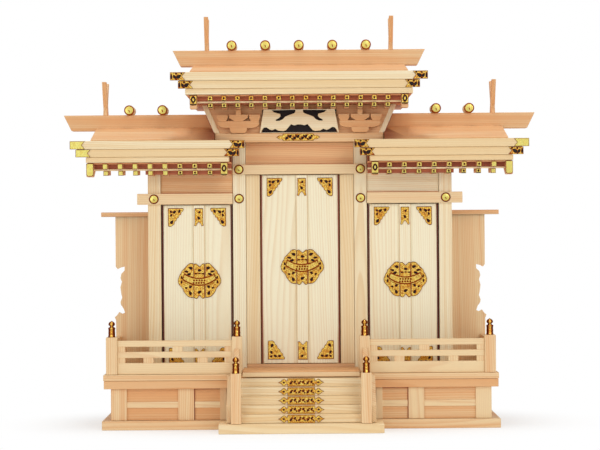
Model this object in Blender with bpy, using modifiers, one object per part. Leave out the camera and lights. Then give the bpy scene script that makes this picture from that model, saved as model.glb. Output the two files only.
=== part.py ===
"""A household shrine (kamidana) with three rooms, the middle one under a raised roof.

The shrine is plain cypress joinery on a plinth: a panelled base, a railed deck with a
flight of steps, three rooms with paired doors, and three gabled roofs on double rafters.
X runs to the viewer's right, Y runs to the back, Z is up. The origin is the centre of the
plinth's underside. All sizes are in metres.
"""

import math

import bmesh
import bpy
from mathutils import Matrix, Vector

# Joinery allowances
FIT = 0.0003
LAP = 0.0005
LEAF_GAP = 0.0015

# Depth layout, front to back
PLINTH_DEPTH = 0.170
PLINTH_HALF_WIDTH = 0.2464
PLINTH_HEIGHT = 0.0113
VERANDA_DEPTH = 0.058
STAIR_DEPTH = 0.055

FRONT_Y = -PLINTH_DEPTH / 2
BACK_Y = PLINTH_DEPTH / 2
POST_FRONT_Y = FRONT_Y + VERANDA_DEPTH

# Base and deck
BASE_HALF_WIDTH = 0.2355
BASE_SET_BACK = 0.0055
BASE_POST = 0.0196
BASE_PANEL = 0.005
BASE_POST_PROUD = 0.003
BASE_LAP = 0.001
BASE_RAIL_HEIGHT = 0.0078
BASE_RAIL_PROUD = 0.0015
BASE_RAIL_DROP = 0.0005
BASE_MID_POST_X = 0.14245
BASE_INNER_POST_X = 0.0965
BASE_INNER_POST = 0.0080
DECK_FRAME_HEIGHT = 0.0098
DECK_BOARD_HEIGHT = 0.0074
DECK_HALF_WIDTH = 0.2444
DECK_BOTTOM = 0.0508
DECK_TOP = DECK_BOTTOM + DECK_FRAME_HEIGHT + FIT + DECK_BOARD_HEIGHT

# Steps
STEP_COUNT = 5
STAIR_HALF_WIDTH = 0.0858
STAIR_SIDE = 0.0052
STAIR_BASE_HALF_WIDTH = 0.1002
STAIR_BASE_HEIGHT = 0.0115
LANDING_HALF_WIDTH = 0.0722
LANDING_THICKNESS = 0.0040
LANDING_NOSE = 0.0055
NEWEL = 0.0126
NEWEL_X = 0.0790
NEWEL_TOP = 0.0729

# Railings
RAIL_POST = 0.0137
RAIL_POST_X = 0.2340
STAIR_TOP_POST = 0.0126
RAIL_POST_TOP = 0.1147
RAIL_THICKNESS = 0.0062
RAIL_HEIGHT = 0.0074
RAIL_BOARD_HEIGHT = 0.0140
RAIL_GAP = 0.0064
STRUT_WIDTH = 0.0125
STRUT_INSET = 0.0006
UPPER_STRUTS_X = (0.0883, 0.1527, 0.2237)
LOWER_STRUTS_X = (0.0883, 0.1218, 0.1886, 0.2237)
UPPER_STRUTS_Y = (-0.045, 0.014)
LOWER_STRUTS_Y = (-0.020, 0.014)
RAIL_POST_SET_BACK = 0.0005
FINIAL_HEIGHT = 0.0205
FINIAL_RADIUS = 0.0044

# Posts, walls and beams
POST = 0.0162
CENTRE_POST_X = 0.0765
OUTER_POST_X = 0.1839
WALL = 0.0060
BACK_WALL = 0.0050
LINTEL_PANEL = 0.0090
LINTEL_SET_BACK = 0.0030
BEAM_THICKNESS = 0.0037
WING_DOOR_HEAD = 0.2789
WING_BEAM_HEIGHT = 0.0139
WING_BEAM_REACH = 0.0133
WING_WALL_TOP = 0.3207
CENTRE_FLOOR_TOP = 0.0765
CENTRE_DOOR_HEAD = 0.3162
CENTRE_BEAM_HEIGHT = 0.0126
CENTRE_WALL_TOP = 0.3562
JAMB_WIDTH = 0.0175

# Doors
LEAF_THICKNESS = 0.0050
LEAF_SET_BACK = 0.0025
LEAF_CLEARANCE = 0.0009
MEETING_GAP = 0.0008
STRIP_WIDTH = 0.0149
STRIP_LAP = 0.0050
STRIP_THICKNESS = 0.0022
PIVOT_RADIUS = 0.0015

# Side screens
SCREEN_Y = 0.023
SCREEN_THICKNESS = 0.005
SCREEN_WIDTH = 0.0456
SCREEN_FRET_HEIGHT = 0.1675
SCREEN_FRET = (
    (0.0000, 0.0325), (0.0025, 0.0293), (0.0063, 0.0313), (0.0115, 0.0325), (0.0112, 0.0273),
    (0.0071, 0.0233), (0.0060, 0.0181), (0.0078, 0.0129), (0.0058, 0.0060), (0.0070, -0.0032),
    (0.0081, -0.0072), (0.0058, -0.0130), (0.0063, -0.0165), (0.0098, -0.0217), (0.0115, -0.0268),
    (0.0081, -0.0283), (0.0040, -0.0262), (0.0012, -0.0303), (-0.0017, -0.0326), (0.0000, -0.0367),
)
SCREEN_WAVE = (
    (0.0002, -0.0493), (0.0008, -0.0320), (0.0027, -0.0262), (0.0009, -0.0182), (0.0010, -0.0090),
    (0.0033, -0.0021), (0.0010, 0.0060), (0.0010, 0.0164), (0.0018, 0.0233), (0.0031, 0.0302),
    (0.0010, 0.0383), (0.0002, 0.0544),
)
SCREEN_BATTEN_WIDTH = 0.0050
SCREEN_BATTEN_DEPTH = 0.0060
SCREEN_TOP = 0.2647
SCREEN_CAP_HEIGHT = 0.0053
SCREEN_CAP_REACH = 0.0180
SCREEN_CAP_DEPTH = 0.013

# Centre hall above its doors
PLATE_HALF_WIDTH = 0.1060
PLATE_HEIGHT = 0.0113
PLATE_PROUD = 0.0105
FRIEZE_HEIGHT = 0.0356
FRIEZE_FLARE = 0.0156
FRIEZE_PROUD = 0.0030
BRACKET_DEPTH = 0.0100
BEARING_HALF_WIDTH = 0.0108
BEARING_HEIGHT = 0.0066
ARM_HALF_LENGTH = 0.0258
ARM_HEIGHT = 0.0088
ARM_TIP_HEIGHT = 0.0040
ARM_CURVE = 0.0110
SMALL_BLOCK_HALF_WIDTH = 0.0068
SMALL_BLOCK_HEIGHT = 0.0078
SMALL_BLOCK_SPACING = 0.0203
MIDDLE_BLOCK_HALF_WIDTH = 0.0118
NOSE_HALF_WIDTH = 0.0031
NOSE_HEIGHT = 0.0062
TRANSOM_HALF_WIDTH = 0.0498
TRANSOM_RIM = 0.0006
TRANSOM_THICKNESS = 0.0030
TRANSOM_PROUD = 0.0040

# Rafters
RAFTER_WIDTH = 0.0062
UPPER_RAFTER_HEIGHT = 0.0070
LOWER_RAFTER_HEIGHT = 0.0075
SOFFIT = 0.0016
UPPER_RAFTER_SET_BACK = 0.0080
LOWER_RAFTER_SET_BACK = 0.0180
SOFFIT_SET_BACK = 0.0006
CLOSING_BOARD = 0.0050
CLOSING_SET_BACK = 0.0020
CORNER_BLOCK = 0.0088
CORNER_BLOCK_DEPTH = 0.030
CORNER_BLOCK_FOOT = 0.013
CORNER_BLOCK_DROP = 0.0018
CENTRE_CORNER_X = 0.1308
WING_CORNERS_X = (0.0937, 0.2603)
BACK_SOFFIT_SHORT = 0.0020
CENTRE_LOWER_SOFFIT_HALF_WIDTH = 0.1350
CENTRE_UPPER_SOFFIT_HALF_WIDTH = 0.1388
WING_LOWER_SOFFIT_OUTER = 0.2600
WING_UPPER_SOFFIT_OUTER = 0.2635
WING_ROW_MIDDLE = 0.17655
CENTRE_RAFTERS = 14
CENTRE_RAFTER_PITCH = 0.01693
WING_RAFTERS = 8
WING_RAFTER_PITCH = 0.01854

# Roofs: overhang in front of the posts, and the reach behind the back wall
CENTRE_EAVE = 0.063
WING_EAVE = 0.053
BACK_EAVE = 0.015
EAVE_DEPTH = 0.035
EAVE_STEP = 0.0025
CENTRE_EAVE_HALF_WIDTHS = (0.1407, 0.1490, 0.1586)
CENTRE_EAVE_HEIGHTS = (0.0070, 0.0100, 0.0105)
WING_EAVE_INNER = (0.0877, 0.0752, 0.0683)
WING_EAVE_OUTER = (0.2650, 0.2771, 0.2839)
WING_EAVE_HEIGHTS = (0.0066, 0.0098, 0.0104)
CENTRE_ROOF_HALF_WIDTH = 0.1350
WING_ROOF_OUTER = 0.2592
ROOF_EDGE = 0.0015
ROOF_CUT_REACH = 0.2
BACK_EDGE = 0.020
RIDGE_Y = 0.013
RIDGE_DEPTH = 0.020
CENTRE_RIDGE_HEIGHT = 0.0200
CENTRE_RIDGE_SEAT = 0.0008
CENTRE_RIDGE_RISE = 0.0150
WING_RIDGE_HEIGHT = 0.0198
WING_RIDGE_SEAT = 0.0036
WING_RIDGE_RISE = 0.0198
CENTRE_RIDGE_HALF_WIDTH = 0.1516
RIDGE_SPLAY = 0.0098
WING_RIDGE_OUTER = 0.2914

# Billets and crossed finial boards on the ridges
BILLET_RADIUS = 0.0064
BILLET_LENGTH = 0.028
CENTRE_BILLETS = (-0.0858, -0.0429, 0.0, 0.0429, 0.0858)
WING_BILLETS = (0.1747, 0.2171)
FINIAL_BOARD = 0.0054
FINIAL_BOARD_WIDTH = 0.0100
FINIAL_BOARD_RISE = 0.0418
FINIAL_BOARD_LEAN = 0.017
FINIAL_BOARD_FOOT = 0.0060
CENTRE_FINIAL_X = 0.1180
WING_FINIAL_X = 0.2482

# Colours
CYPRESS = (0.86, 0.62, 0.38, 1.0)
PALE_CYPRESS = (0.90, 0.74, 0.48, 1.0)
WARM_CYPRESS = (0.82, 0.47, 0.24, 1.0)

for stale in list(bpy.data.objects):
    bpy.data.objects.remove(stale, do_unlink=True)

shrine = bpy.data.collections.new("kamidana")
bpy.context.scene.collection.children.link(shrine)
cutters = bpy.data.collections.new("cutters")
bpy.context.scene.collection.children.link(cutters)


def wood(name, colour):
    material = bpy.data.materials.new(name)
    material.use_nodes = True
    shader = material.node_tree.nodes["Principled BSDF"]
    shader.inputs["Base Color"].default_value = colour
    shader.inputs["Roughness"].default_value = 0.55
    shader.inputs["Metallic"].default_value = 0.0
    return material


def add(name, mesh, colour=CYPRESS, location=(0.0, 0.0, 0.0)):
    """Links a mesh as a named piece of the shrine, with a material of its own."""
    piece = bpy.data.objects.new(name, mesh)
    piece.location = location
    shrine.objects.link(piece)
    mesh.materials.append(wood(name + "_wood", colour))
    return piece


def box_mesh(name, size):
    bm = bmesh.new()
    bmesh.ops.create_cube(bm, size=1.0)
    bmesh.ops.scale(bm, vec=Vector(size), verts=bm.verts)
    mesh = bpy.data.meshes.new(name)
    bm.to_mesh(mesh)
    bm.free()
    return mesh


def box(name, low, high, colour=CYPRESS):
    """A board or post between two corners."""
    low = Vector(low)
    high = Vector(high)
    return add(name, box_mesh(name, high - low), colour, (low + high) / 2)


def as_cutter(piece):
    """Takes a helper solid out of the shrine and hides it."""
    shrine.objects.unlink(piece)
    cutters.objects.link(piece)
    piece.hide_render = True
    piece.display_type = "WIRE"
    return piece


def helper_box(name, low, high):
    return as_cutter(box(name, low, high))


def join_with(piece, helper, operation="UNION"):
    modifier = piece.modifiers.new(helper.name, "BOOLEAN")
    modifier.operation = operation
    modifier.solver = "EXACT"
    modifier.object = helper
    return piece


def fused(name, corners, colour=CYPRESS):
    """One solid from several overlapping boxes, each given by its two corners."""
    piece = box(name, corners[0][0], corners[0][1], colour)
    for number, (low, high) in enumerate(corners[1:], 1):
        join_with(piece, helper_box(f"{name}_part_{number}", low, high))
    return piece


def outline_mesh(name, outlines, thickness, matrix):
    """A flat board cut to closed outlines, the first outside and the rest holes."""
    curve = bpy.data.curves.new(name, "CURVE")
    curve.dimensions = "2D"
    curve.fill_mode = "BOTH"
    curve.extrude = thickness / 2
    for points in outlines:
        spline = curve.splines.new("POLY")
        spline.points.add(len(points) - 1)
        for point, (u, v) in zip(spline.points, points):
            point.co = (u, v, 0.0, 1.0)
        spline.use_cyclic_u = True
    shape = bpy.data.objects.new(name, curve)
    shape.matrix_world = matrix
    cutters.objects.link(shape)
    bpy.context.view_layer.update()
    evaluated = shape.evaluated_get(bpy.context.evaluated_depsgraph_get())
    mesh = bpy.data.meshes.new_from_object(evaluated)
    mesh.name = name
    mesh.materials.clear()
    bm = bmesh.new()
    bm.from_mesh(mesh)
    bmesh.ops.remove_doubles(bm, verts=bm.verts, dist=0.00001)
    bmesh.ops.transform(bm, matrix=matrix, verts=bm.verts)
    bmesh.ops.recalc_face_normals(bm, faces=bm.faces)
    bm.to_mesh(mesh)
    bm.free()
    bpy.data.objects.remove(shape, do_unlink=True)
    return mesh


def front_board(name, outlines, y_front, y_back, colour=CYPRESS):
    """A board whose outline is drawn in X and Z, seen from the front."""
    middle = (y_front + y_back) / 2
    matrix = Matrix.Translation((0.0, middle, 0.0)) @ Matrix.Rotation(math.pi / 2, 4, "X")
    return add(name, outline_mesh(name, outlines, y_back - y_front, matrix), colour)


def side_board(name, outline, x_low, x_high, colour=CYPRESS):
    """A board whose outline is drawn in Y and Z, seen from the side."""
    turn = Matrix.Rotation(math.pi / 2, 4, "Z") @ Matrix.Rotation(math.pi / 2, 4, "X")
    matrix = Matrix.Translation(((x_low + x_high) / 2, 0.0, 0.0)) @ turn
    return add(name, outline_mesh(name, [outline], x_high - x_low, matrix), colour)


def mirrored(side, low, high):
    """Corners of a box given for the right side, turned to the left when side is -1."""
    if side > 0:
        return low, high
    return (-high[0], low[1], low[2]), (-low[0], high[1], high[2])


def side_name(stem, side):
    return f"{stem}_{'right' if side > 0 else 'left'}"


def make_plinth():
    box("plinth", (-PLINTH_HALF_WIDTH, FRONT_Y, 0.0), (PLINTH_HALF_WIDTH, BACK_Y, PLINTH_HEIGHT))
    box(
        "stair_base",
        (-STAIR_BASE_HALF_WIDTH, FRONT_Y - STAIR_DEPTH, 0.0),
        (STAIR_BASE_HALF_WIDTH, FRONT_Y - FIT, STAIR_BASE_HEIGHT),
    )


def make_base_walls():
    """Panels between posts, with a middle rail, on all four sides of the base."""
    bottom = PLINTH_HEIGHT + FIT
    top = DECK_BOTTOM - FIT
    rail_low = (bottom + top) / 2 - BASE_RAIL_HEIGHT / 2 - BASE_RAIL_DROP
    rail_high = rail_low + BASE_RAIL_HEIGHT
    front = FRONT_Y + BASE_SET_BACK
    rear = BACK_Y - BASE_SET_BACK
    inner = BASE_HALF_WIDTH - BASE_POST
    panel_y = front + BASE_POST_PROUD

    parts = [((-BASE_HALF_WIDTH, panel_y, bottom), (BASE_HALF_WIDTH, panel_y + BASE_PANEL, top))]
    post_back = panel_y + BASE_PANEL + BASE_LAP
    for side in (-1, 1):
        for x, width in (
            (BASE_HALF_WIDTH - BASE_POST / 2, BASE_POST),
            (BASE_MID_POST_X, BASE_POST),
            (BASE_INNER_POST_X, BASE_INNER_POST),
        ):
            low, high = mirrored(side, (x - width / 2, front, bottom), (x + width / 2, post_back, top))
            parts.append((low, high))
    rail_front = front + BASE_POST_PROUD / 2
    parts.append(
        (
            (-BASE_HALF_WIDTH + BASE_LAP, rail_front, rail_low),
            (BASE_HALF_WIDTH - BASE_LAP, panel_y + BASE_LAP, rail_high),
        )
    )
    fused("base_wall_front", parts, WARM_CYPRESS)

    joint = post_back + FIT
    panel_x = BASE_HALF_WIDTH - BASE_POST_PROUD
    parts = [
        ((-panel_x, rear - BASE_POST_PROUD - BASE_PANEL, bottom), (panel_x, rear - BASE_POST_PROUD, top))
    ]
    for side in (-1, 1):
        parts.append(
            mirrored(side, (panel_x - BASE_PANEL, joint, bottom), (panel_x, rear - BASE_POST_PROUD, top))
        )
        parts.append(mirrored(side, (inner, rear - BASE_POST, bottom), (BASE_HALF_WIDTH, rear, top)))
        parts.append(
            mirrored(
                side,
                (panel_x - BASE_PANEL + BASE_LAP, joint + BASE_LAP, rail_low),
                (panel_x + BASE_RAIL_PROUD, rear - BASE_PANEL, rail_high),
            )
        )
    rear_face = rear - BASE_POST_PROUD
    parts.append(((-BASE_POST / 2, rear_face - BASE_LAP, bottom), (BASE_POST / 2, rear, top)))
    parts.append(
        (
            (-panel_x + 2 * BASE_LAP, rear_face - BASE_LAP, rail_low),
            (panel_x - 2 * BASE_LAP, rear_face + BASE_RAIL_PROUD, rail_high),
        )
    )
    fused("base_wall_rear", parts, WARM_CYPRESS)


def make_deck():
    frame_top = DECK_BOTTOM + DECK_FRAME_HEIGHT
    inset = 0.0006
    box(
        "deck_frame",
        (-DECK_HALF_WIDTH + inset, FRONT_Y + inset, DECK_BOTTOM),
        (DECK_HALF_WIDTH - inset, BACK_Y - inset, frame_top),
    )
    box(
        "deck_boards",
        (-DECK_HALF_WIDTH, FRONT_Y, frame_top + FIT),
        (DECK_HALF_WIDTH, BACK_Y, DECK_TOP),
        PALE_CYPRESS,
    )
    low = DECK_TOP + FIT
    top = low + LANDING_THICKNESS
    nose = FRONT_Y - LANDING_NOSE
    drop = top - 0.0074
    outline = [
        (nose, drop),
        (FRONT_Y - FIT, drop),
        (FRONT_Y - FIT, low),
        (POST_FRONT_Y - FIT - BEAM_THICKNESS, low),
        (POST_FRONT_Y - FIT - BEAM_THICKNESS, top),
        (nose, top),
    ]
    side_board("landing", outline, -LANDING_HALF_WIDTH, LANDING_HALF_WIDTH, PALE_CYPRESS)


def stair_run():
    """Front edge of the first riser, depth of a tread and height of a riser."""
    first = FRONT_Y - STAIR_DEPTH + 0.0007 + NEWEL + FIT
    back = FRONT_Y - FIT
    rise = (DECK_TOP - 0.0047 - STAIR_BASE_HEIGHT) / STEP_COUNT
    return first, (back - first) / STEP_COUNT, rise


def make_stairs():
    first, tread, rise = stair_run()
    back = FRONT_Y - FIT
    low = STAIR_BASE_HEIGHT + FIT
    outline = [(back, low), (first, low)]
    for step in range(STEP_COUNT):
        top = STAIR_BASE_HEIGHT + rise * (step + 1)
        outline.append((first + tread * step, top))
        outline.append((first + tread * (step + 1), top))
    side_board("stair_flight", outline, -STAIR_HALF_WIDTH + FIT, STAIR_HALF_WIDTH - FIT, PALE_CYPRESS)

    side_top = DECK_TOP - 0.001
    outline = [
        (first, low), (back, low), (back, side_top), (back - 0.006, side_top), (first, low + 2 * rise),
    ]
    for side in (-1, 1):
        low_x, high_x = sorted((side * STAIR_HALF_WIDTH, side * (STAIR_HALF_WIDTH + STAIR_SIDE)))
        side_board(side_name("stair_side", side), outline, low_x, high_x)


def finial_mesh(name, x, y, z):
    """An onion-shaped post cap, turned from its profile."""
    radius = FINIAL_RADIUS
    height = FINIAL_HEIGHT
    profile = [
        (1.00, 0.00),
        (1.00, 0.56),
        (0.90, 0.60),
        (0.58, 0.62),
        (0.56, 0.68),
        (0.82, 0.73),
        (0.90, 0.80),
        (0.78, 0.88),
        (0.40, 0.95),
        (0.00, 1.00),
    ]
    bm = bmesh.new()
    previous = None
    for share, level in [(0.0, -0.05), (1.00, -0.05)] + profile:
        vertex = bm.verts.new((radius * share, 0.0, height * level))
        if previous is not None:
            bm.edges.new((previous, vertex))
        previous = vertex
    bmesh.ops.spin(
        bm,
        geom=bm.verts[:] + bm.edges[:],
        cent=(0.0, 0.0, 0.0),
        axis=(0.0, 0.0, 1.0),
        angle=math.tau,
        steps=12,
        use_merge=True,
        use_duplicate=False,
    )
    bmesh.ops.remove_doubles(bm, verts=bm.verts, dist=0.00002)
    bmesh.ops.recalc_face_normals(bm, faces=bm.faces)
    bmesh.ops.translate(bm, vec=(x, y, z), verts=bm.verts)
    mesh = bpy.data.meshes.new(name)
    bm.to_mesh(mesh)
    bm.free()
    return mesh


def add_finial(post, x, y, z):
    helper = as_cutter(add(post.name + f"_finial_{len(post.modifiers)}", finial_mesh(post.name, x, y, z)))
    join_with(post, helper)


def make_stair_rails():
    """A newel on the stair base, with two rails that rise to the stair-top post."""
    first, tread, rise = stair_run()
    newel_front = first - FIT - NEWEL
    newel_y = newel_front + NEWEL / 2
    slope = (RAIL_POST_TOP - NEWEL_TOP) / (FRONT_Y - newel_front)
    rail_end = FRONT_Y + RAIL_POST_SET_BACK - FIT
    for side in (-1, 1):
        x = side * NEWEL_X
        name = side_name("stair_rail", side)
        newel = box(
            name,
            (x - NEWEL / 2, newel_front, STAIR_BASE_HEIGHT + FIT),
            (x + NEWEL / 2, newel_front + NEWEL, NEWEL_TOP),
        )
        for number, drop in enumerate((0.0050, 0.0180)):
            start = newel_front + NEWEL - LAP
            z_start = NEWEL_TOP - drop - RAIL_HEIGHT
            z_end = z_start + slope * (rail_end - start)
            outline = [
                (start, z_start),
                (rail_end, z_end),
                (rail_end, z_end + RAIL_HEIGHT),
                (start, z_start + RAIL_HEIGHT),
            ]
            half = RAIL_THICKNESS / 2
            rail = side_board(f"{name}_slope_{number}", outline, x - half, x + half)
            join_with(newel, as_cutter(rail))
        add_finial(newel, x, newel_y, NEWEL_TOP)


def make_railings():
    """Corner post, stair-top post, three rails and short struts, and the return along the side."""
    post_front = FRONT_Y + RAIL_POST_SET_BACK
    rail_y = post_front + RAIL_POST / 2
    low = DECK_TOP + FIT
    board_top = low + RAIL_BOARD_HEIGHT
    mid_low = board_top + RAIL_GAP
    mid_high = mid_low + RAIL_HEIGHT
    top_low = mid_high + RAIL_GAP
    top_high = top_low + RAIL_HEIGHT
    y_low = rail_y - RAIL_THICKNESS / 2
    y_high = rail_y + RAIL_THICKNESS / 2
    left = NEWEL_X
    right = RAIL_POST_X
    side_end = SCREEN_Y - FIT
    for side in (-1, 1):
        parts = [
            (
                (right - RAIL_POST / 2, post_front, low),
                (right + RAIL_POST / 2, post_front + RAIL_POST, RAIL_POST_TOP),
            ),
            (
                (left - STAIR_TOP_POST / 2, post_front, low),
                (left + STAIR_TOP_POST / 2, post_front + STAIR_TOP_POST, RAIL_POST_TOP),
            ),
        ]
        for z_low, z_high in ((low, board_top), (mid_low, mid_high), (top_low, top_high)):
            parts.append(((left, y_low, z_low), (right, y_high, z_high)))
            parts.append(
                (
                    (right - RAIL_THICKNESS / 2, rail_y, z_low),
                    (right + RAIL_THICKNESS / 2, side_end, z_high),
                )
            )
        strut_half = STRUT_WIDTH / 2
        strut_low = board_top - LAP, mid_low + LAP
        strut_high = mid_high - LAP, top_low + LAP
        front_struts = [(x, strut_low) for x in LOWER_STRUTS_X] + [(x, strut_high) for x in UPPER_STRUTS_X]
        for x, (z_low, z_high) in front_struts:
            parts.append(
                (
                    (x - strut_half, y_low + STRUT_INSET, z_low),
                    (x + strut_half, y_high - STRUT_INSET, z_high),
                )
            )
        side_half = RAIL_THICKNESS / 2 - STRUT_INSET
        side_struts = [(y, strut_low) for y in LOWER_STRUTS_Y] + [(y, strut_high) for y in UPPER_STRUTS_Y]
        for y, (z_low, z_high) in side_struts:
            parts.append(
                (
                    (right - side_half, y - strut_half, z_low),
                    (right + side_half, y + strut_half, z_high),
                )
            )
        railing = fused(side_name("railing", side), [mirrored(side, a, b) for a, b in parts])
        add_finial(railing, side * right, rail_y, RAIL_POST_TOP)
        add_finial(railing, side * left, post_front + STAIR_TOP_POST / 2, RAIL_POST_TOP)


def make_side_screens():
    """A board fretted along both edges, nailed to a batten on the wall, under a cap board."""
    inner = OUTER_POST_X + POST / 2 + FIT
    low = DECK_TOP + FIT
    outer = inner + SCREEN_WIDTH
    outline = [(inner, SCREEN_TOP)]
    outline += [(inner + cut, SCREEN_FRET_HEIGHT + rise) for cut, rise in reversed(SCREEN_WAVE)]
    outline += [(inner, low), (outer, low)]
    outline += [(outer - cut, SCREEN_FRET_HEIGHT + rise) for cut, rise in reversed(SCREEN_FRET)]
    outline += [(outer, SCREEN_TOP)]
    for side in (-1, 1):
        name = side_name("side_screen", side)
        points = [(side * x, z) for x, z in outline]
        screen = front_board(name, [points], SCREEN_Y, SCREEN_Y + SCREEN_THICKNESS)
        middle = SCREEN_Y + SCREEN_THICKNESS / 2
        low_corner, high_corner = mirrored(
            side,
            (inner, middle - SCREEN_CAP_DEPTH / 2, SCREEN_TOP - LAP),
            (outer + SCREEN_CAP_REACH, middle + SCREEN_CAP_DEPTH / 2, SCREEN_TOP + SCREEN_CAP_HEIGHT),
        )
        join_with(screen, helper_box(name + "_cap", low_corner, high_corner))
        back = SCREEN_Y + SCREEN_THICKNESS
        low_corner, high_corner = mirrored(
            side,
            (inner, back - LAP, low),
            (inner + SCREEN_BATTEN_WIDTH, back + SCREEN_BATTEN_DEPTH, SCREEN_TOP),
        )
        join_with(screen, helper_box(name + "_batten", low_corner, high_corner))


def make_posts_and_walls():
    low = DECK_TOP + FIT
    post_back = POST_FRONT_Y + POST
    back_wall_front = BACK_Y - BACK_WALL
    wall_back = back_wall_front - FIT
    for side in (-1, 1):
        for stem, x, top in (
            ("centre_post", CENTRE_POST_X, CENTRE_WALL_TOP),
            ("outer_post", OUTER_POST_X, WING_WALL_TOP),
        ):
            corners = mirrored(
                side, (x - POST / 2, POST_FRONT_Y, low), (x + POST / 2, post_back, top)
            )
            box(side_name(stem, side), *corners, PALE_CYPRESS)
            outer = x + POST / 2
            corners = mirrored(side, (outer - WALL, post_back + FIT, low), (outer, wall_back, top))
            wall = {"centre_post": "hall_wall", "outer_post": "side_wall"}[stem]
            box(side_name(wall, side), *corners)
    outer = OUTER_POST_X + POST / 2
    hall = CENTRE_POST_X + POST / 2
    outline = [
        (-outer, low),
        (outer, low),
        (outer, WING_WALL_TOP),
        (hall, WING_WALL_TOP),
        (hall, CENTRE_WALL_TOP),
        (-hall, CENTRE_WALL_TOP),
        (-hall, WING_WALL_TOP),
        (-outer, WING_WALL_TOP),
    ]
    front_board("back_wall", [outline], back_wall_front, BACK_Y)
    room = CENTRE_POST_X - POST / 2 - FIT
    box(
        "centre_floor",
        (-room, POST_FRONT_Y + 0.0005, low),
        (room, wall_back, CENTRE_FLOOR_TOP),
        WARM_CYPRESS,
    )


def make_door_frames():
    """The panel over each pair of doors, the beam nailed across it, and the centre jambs."""
    panel_front = POST_FRONT_Y + LINTEL_SET_BACK
    beam_back = POST_FRONT_Y - FIT
    beam_front = beam_back - BEAM_THICKNESS
    centre_outer = CENTRE_POST_X + POST / 2
    centre_inner = CENTRE_POST_X - POST / 2
    outer_inner = OUTER_POST_X - POST / 2
    outer_outer = OUTER_POST_X + POST / 2
    for side in (-1, 1):
        corners = mirrored(
            side,
            (centre_outer + FIT, panel_front, WING_DOOR_HEAD),
            (outer_inner - FIT, panel_front + LINTEL_PANEL, WING_WALL_TOP),
        )
        box(side_name("lintel_panel", side), *corners, WARM_CYPRESS)
        corners = mirrored(
            side,
            (centre_outer + FIT, beam_front, WING_DOOR_HEAD),
            (outer_outer + WING_BEAM_REACH, beam_back, WING_DOOR_HEAD + WING_BEAM_HEIGHT),
        )
        box(side_name("beam", side), *corners)
        corners = mirrored(
            side,
            (centre_inner - FIT - JAMB_WIDTH, POST_FRONT_Y + 0.0020, CENTRE_FLOOR_TOP + FIT),
            (centre_inner - FIT, panel_front + LINTEL_PANEL, CENTRE_DOOR_HEAD - FIT),
        )
        box(side_name("jamb", side), *corners, WARM_CYPRESS)
    box(
        "lintel_panel_centre",
        (-centre_inner + FIT, panel_front, CENTRE_DOOR_HEAD),
        (centre_inner - FIT, panel_front + LINTEL_PANEL, CENTRE_WALL_TOP),
        WARM_CYPRESS,
    )
    box(
        "beam_centre",
        (-centre_outer, beam_front, CENTRE_DOOR_HEAD),
        (centre_outer, beam_back, CENTRE_DOOR_HEAD + CENTRE_BEAM_HEIGHT),
    )


def make_door(stem, middle, half_opening, sill, head):
    """A pair of leaves. Each turns on dowels at its outer stile, and the right one has the strip."""
    low = sill + LEAF_CLEARANCE
    high = head - LEAF_CLEARANCE
    front = POST_FRONT_Y + LEAF_SET_BACK
    axis_y = front + LEAF_THICKNESS / 2
    stile = LEAF_THICKNESS / 2
    pivot = half_opening - LEAF_GAP - stile
    for side in (-1, 1):
        name = side_name(stem, side)
        axis_x = middle + side * pivot
        hinge = bpy.data.objects.new(name + "_hinge", None)
        hinge.location = (axis_x, axis_y, low)
        shrine.objects.link(hinge)
        reach = pivot - MEETING_GAP / 2
        height = high - low
        x_low, x_high = sorted((0.0, -side * reach))
        leaf = add(name, box_mesh(name, (reach, LEAF_THICKNESS, height)), PALE_CYPRESS)
        leaf.parent = hinge
        leaf.location = ((x_low + x_high) / 2, 0.0, height / 2)
        bm = bmesh.new()
        bmesh.ops.create_cone(
            bm, cap_ends=True, segments=16, radius1=stile, radius2=stile, depth=height
        )
        stile_mesh = bpy.data.meshes.new(name + "_stile")
        bm.to_mesh(stile_mesh)
        bm.free()
        stile_piece = as_cutter(add(name + "_stile", stile_mesh))
        stile_piece.parent = hinge
        stile_piece.location = (0.0, 0.0, height / 2)
        join_with(leaf, stile_piece)
        bm = bmesh.new()
        pin_length = height + 2 * (LEAF_CLEARANCE - FIT)
        bmesh.ops.create_cone(
            bm, cap_ends=True, segments=12, radius1=PIVOT_RADIUS, radius2=PIVOT_RADIUS, depth=pin_length
        )
        pin_mesh = bpy.data.meshes.new(name + "_pin")
        bm.to_mesh(pin_mesh)
        bm.free()
        pin = as_cutter(add(name + "_pin", pin_mesh))
        pin.parent = hinge
        pin.location = (0.0, 0.0, height / 2)
        join_with(leaf, pin)
        if side > 0:
            strip_back = front - FIT
            strip_front = strip_back - STRIP_THICKNESS
            edge = middle - STRIP_LAP
            join_with(
                leaf,
                helper_box(
                    name + "_strip",
                    (edge, strip_front, low + 0.0002),
                    (edge + STRIP_WIDTH, strip_back, high - 0.0002),
                ),
            )
            join_with(
                leaf,
                helper_box(
                    name + "_glue",
                    (middle + MEETING_GAP, strip_back - LAP, low + 0.0004),
                    (edge + STRIP_WIDTH - LAP, front + LAP, high - 0.0004),
                ),
            )


def make_doors():
    centre_outer = CENTRE_POST_X + POST / 2
    outer_inner = OUTER_POST_X - POST / 2
    jamb_inner = CENTRE_POST_X - POST / 2 - FIT - JAMB_WIDTH
    bay_middle = (centre_outer + outer_inner) / 2
    bay_half = (outer_inner - centre_outer) / 2
    make_door("centre_door", 0.0, jamb_inner, CENTRE_FLOOR_TOP, CENTRE_DOOR_HEAD)
    make_door("right_door", bay_middle, bay_half, DECK_TOP, WING_DOOR_HEAD)
    make_door("left_door", -bay_middle, bay_half, DECK_TOP, WING_DOOR_HEAD)


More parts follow.
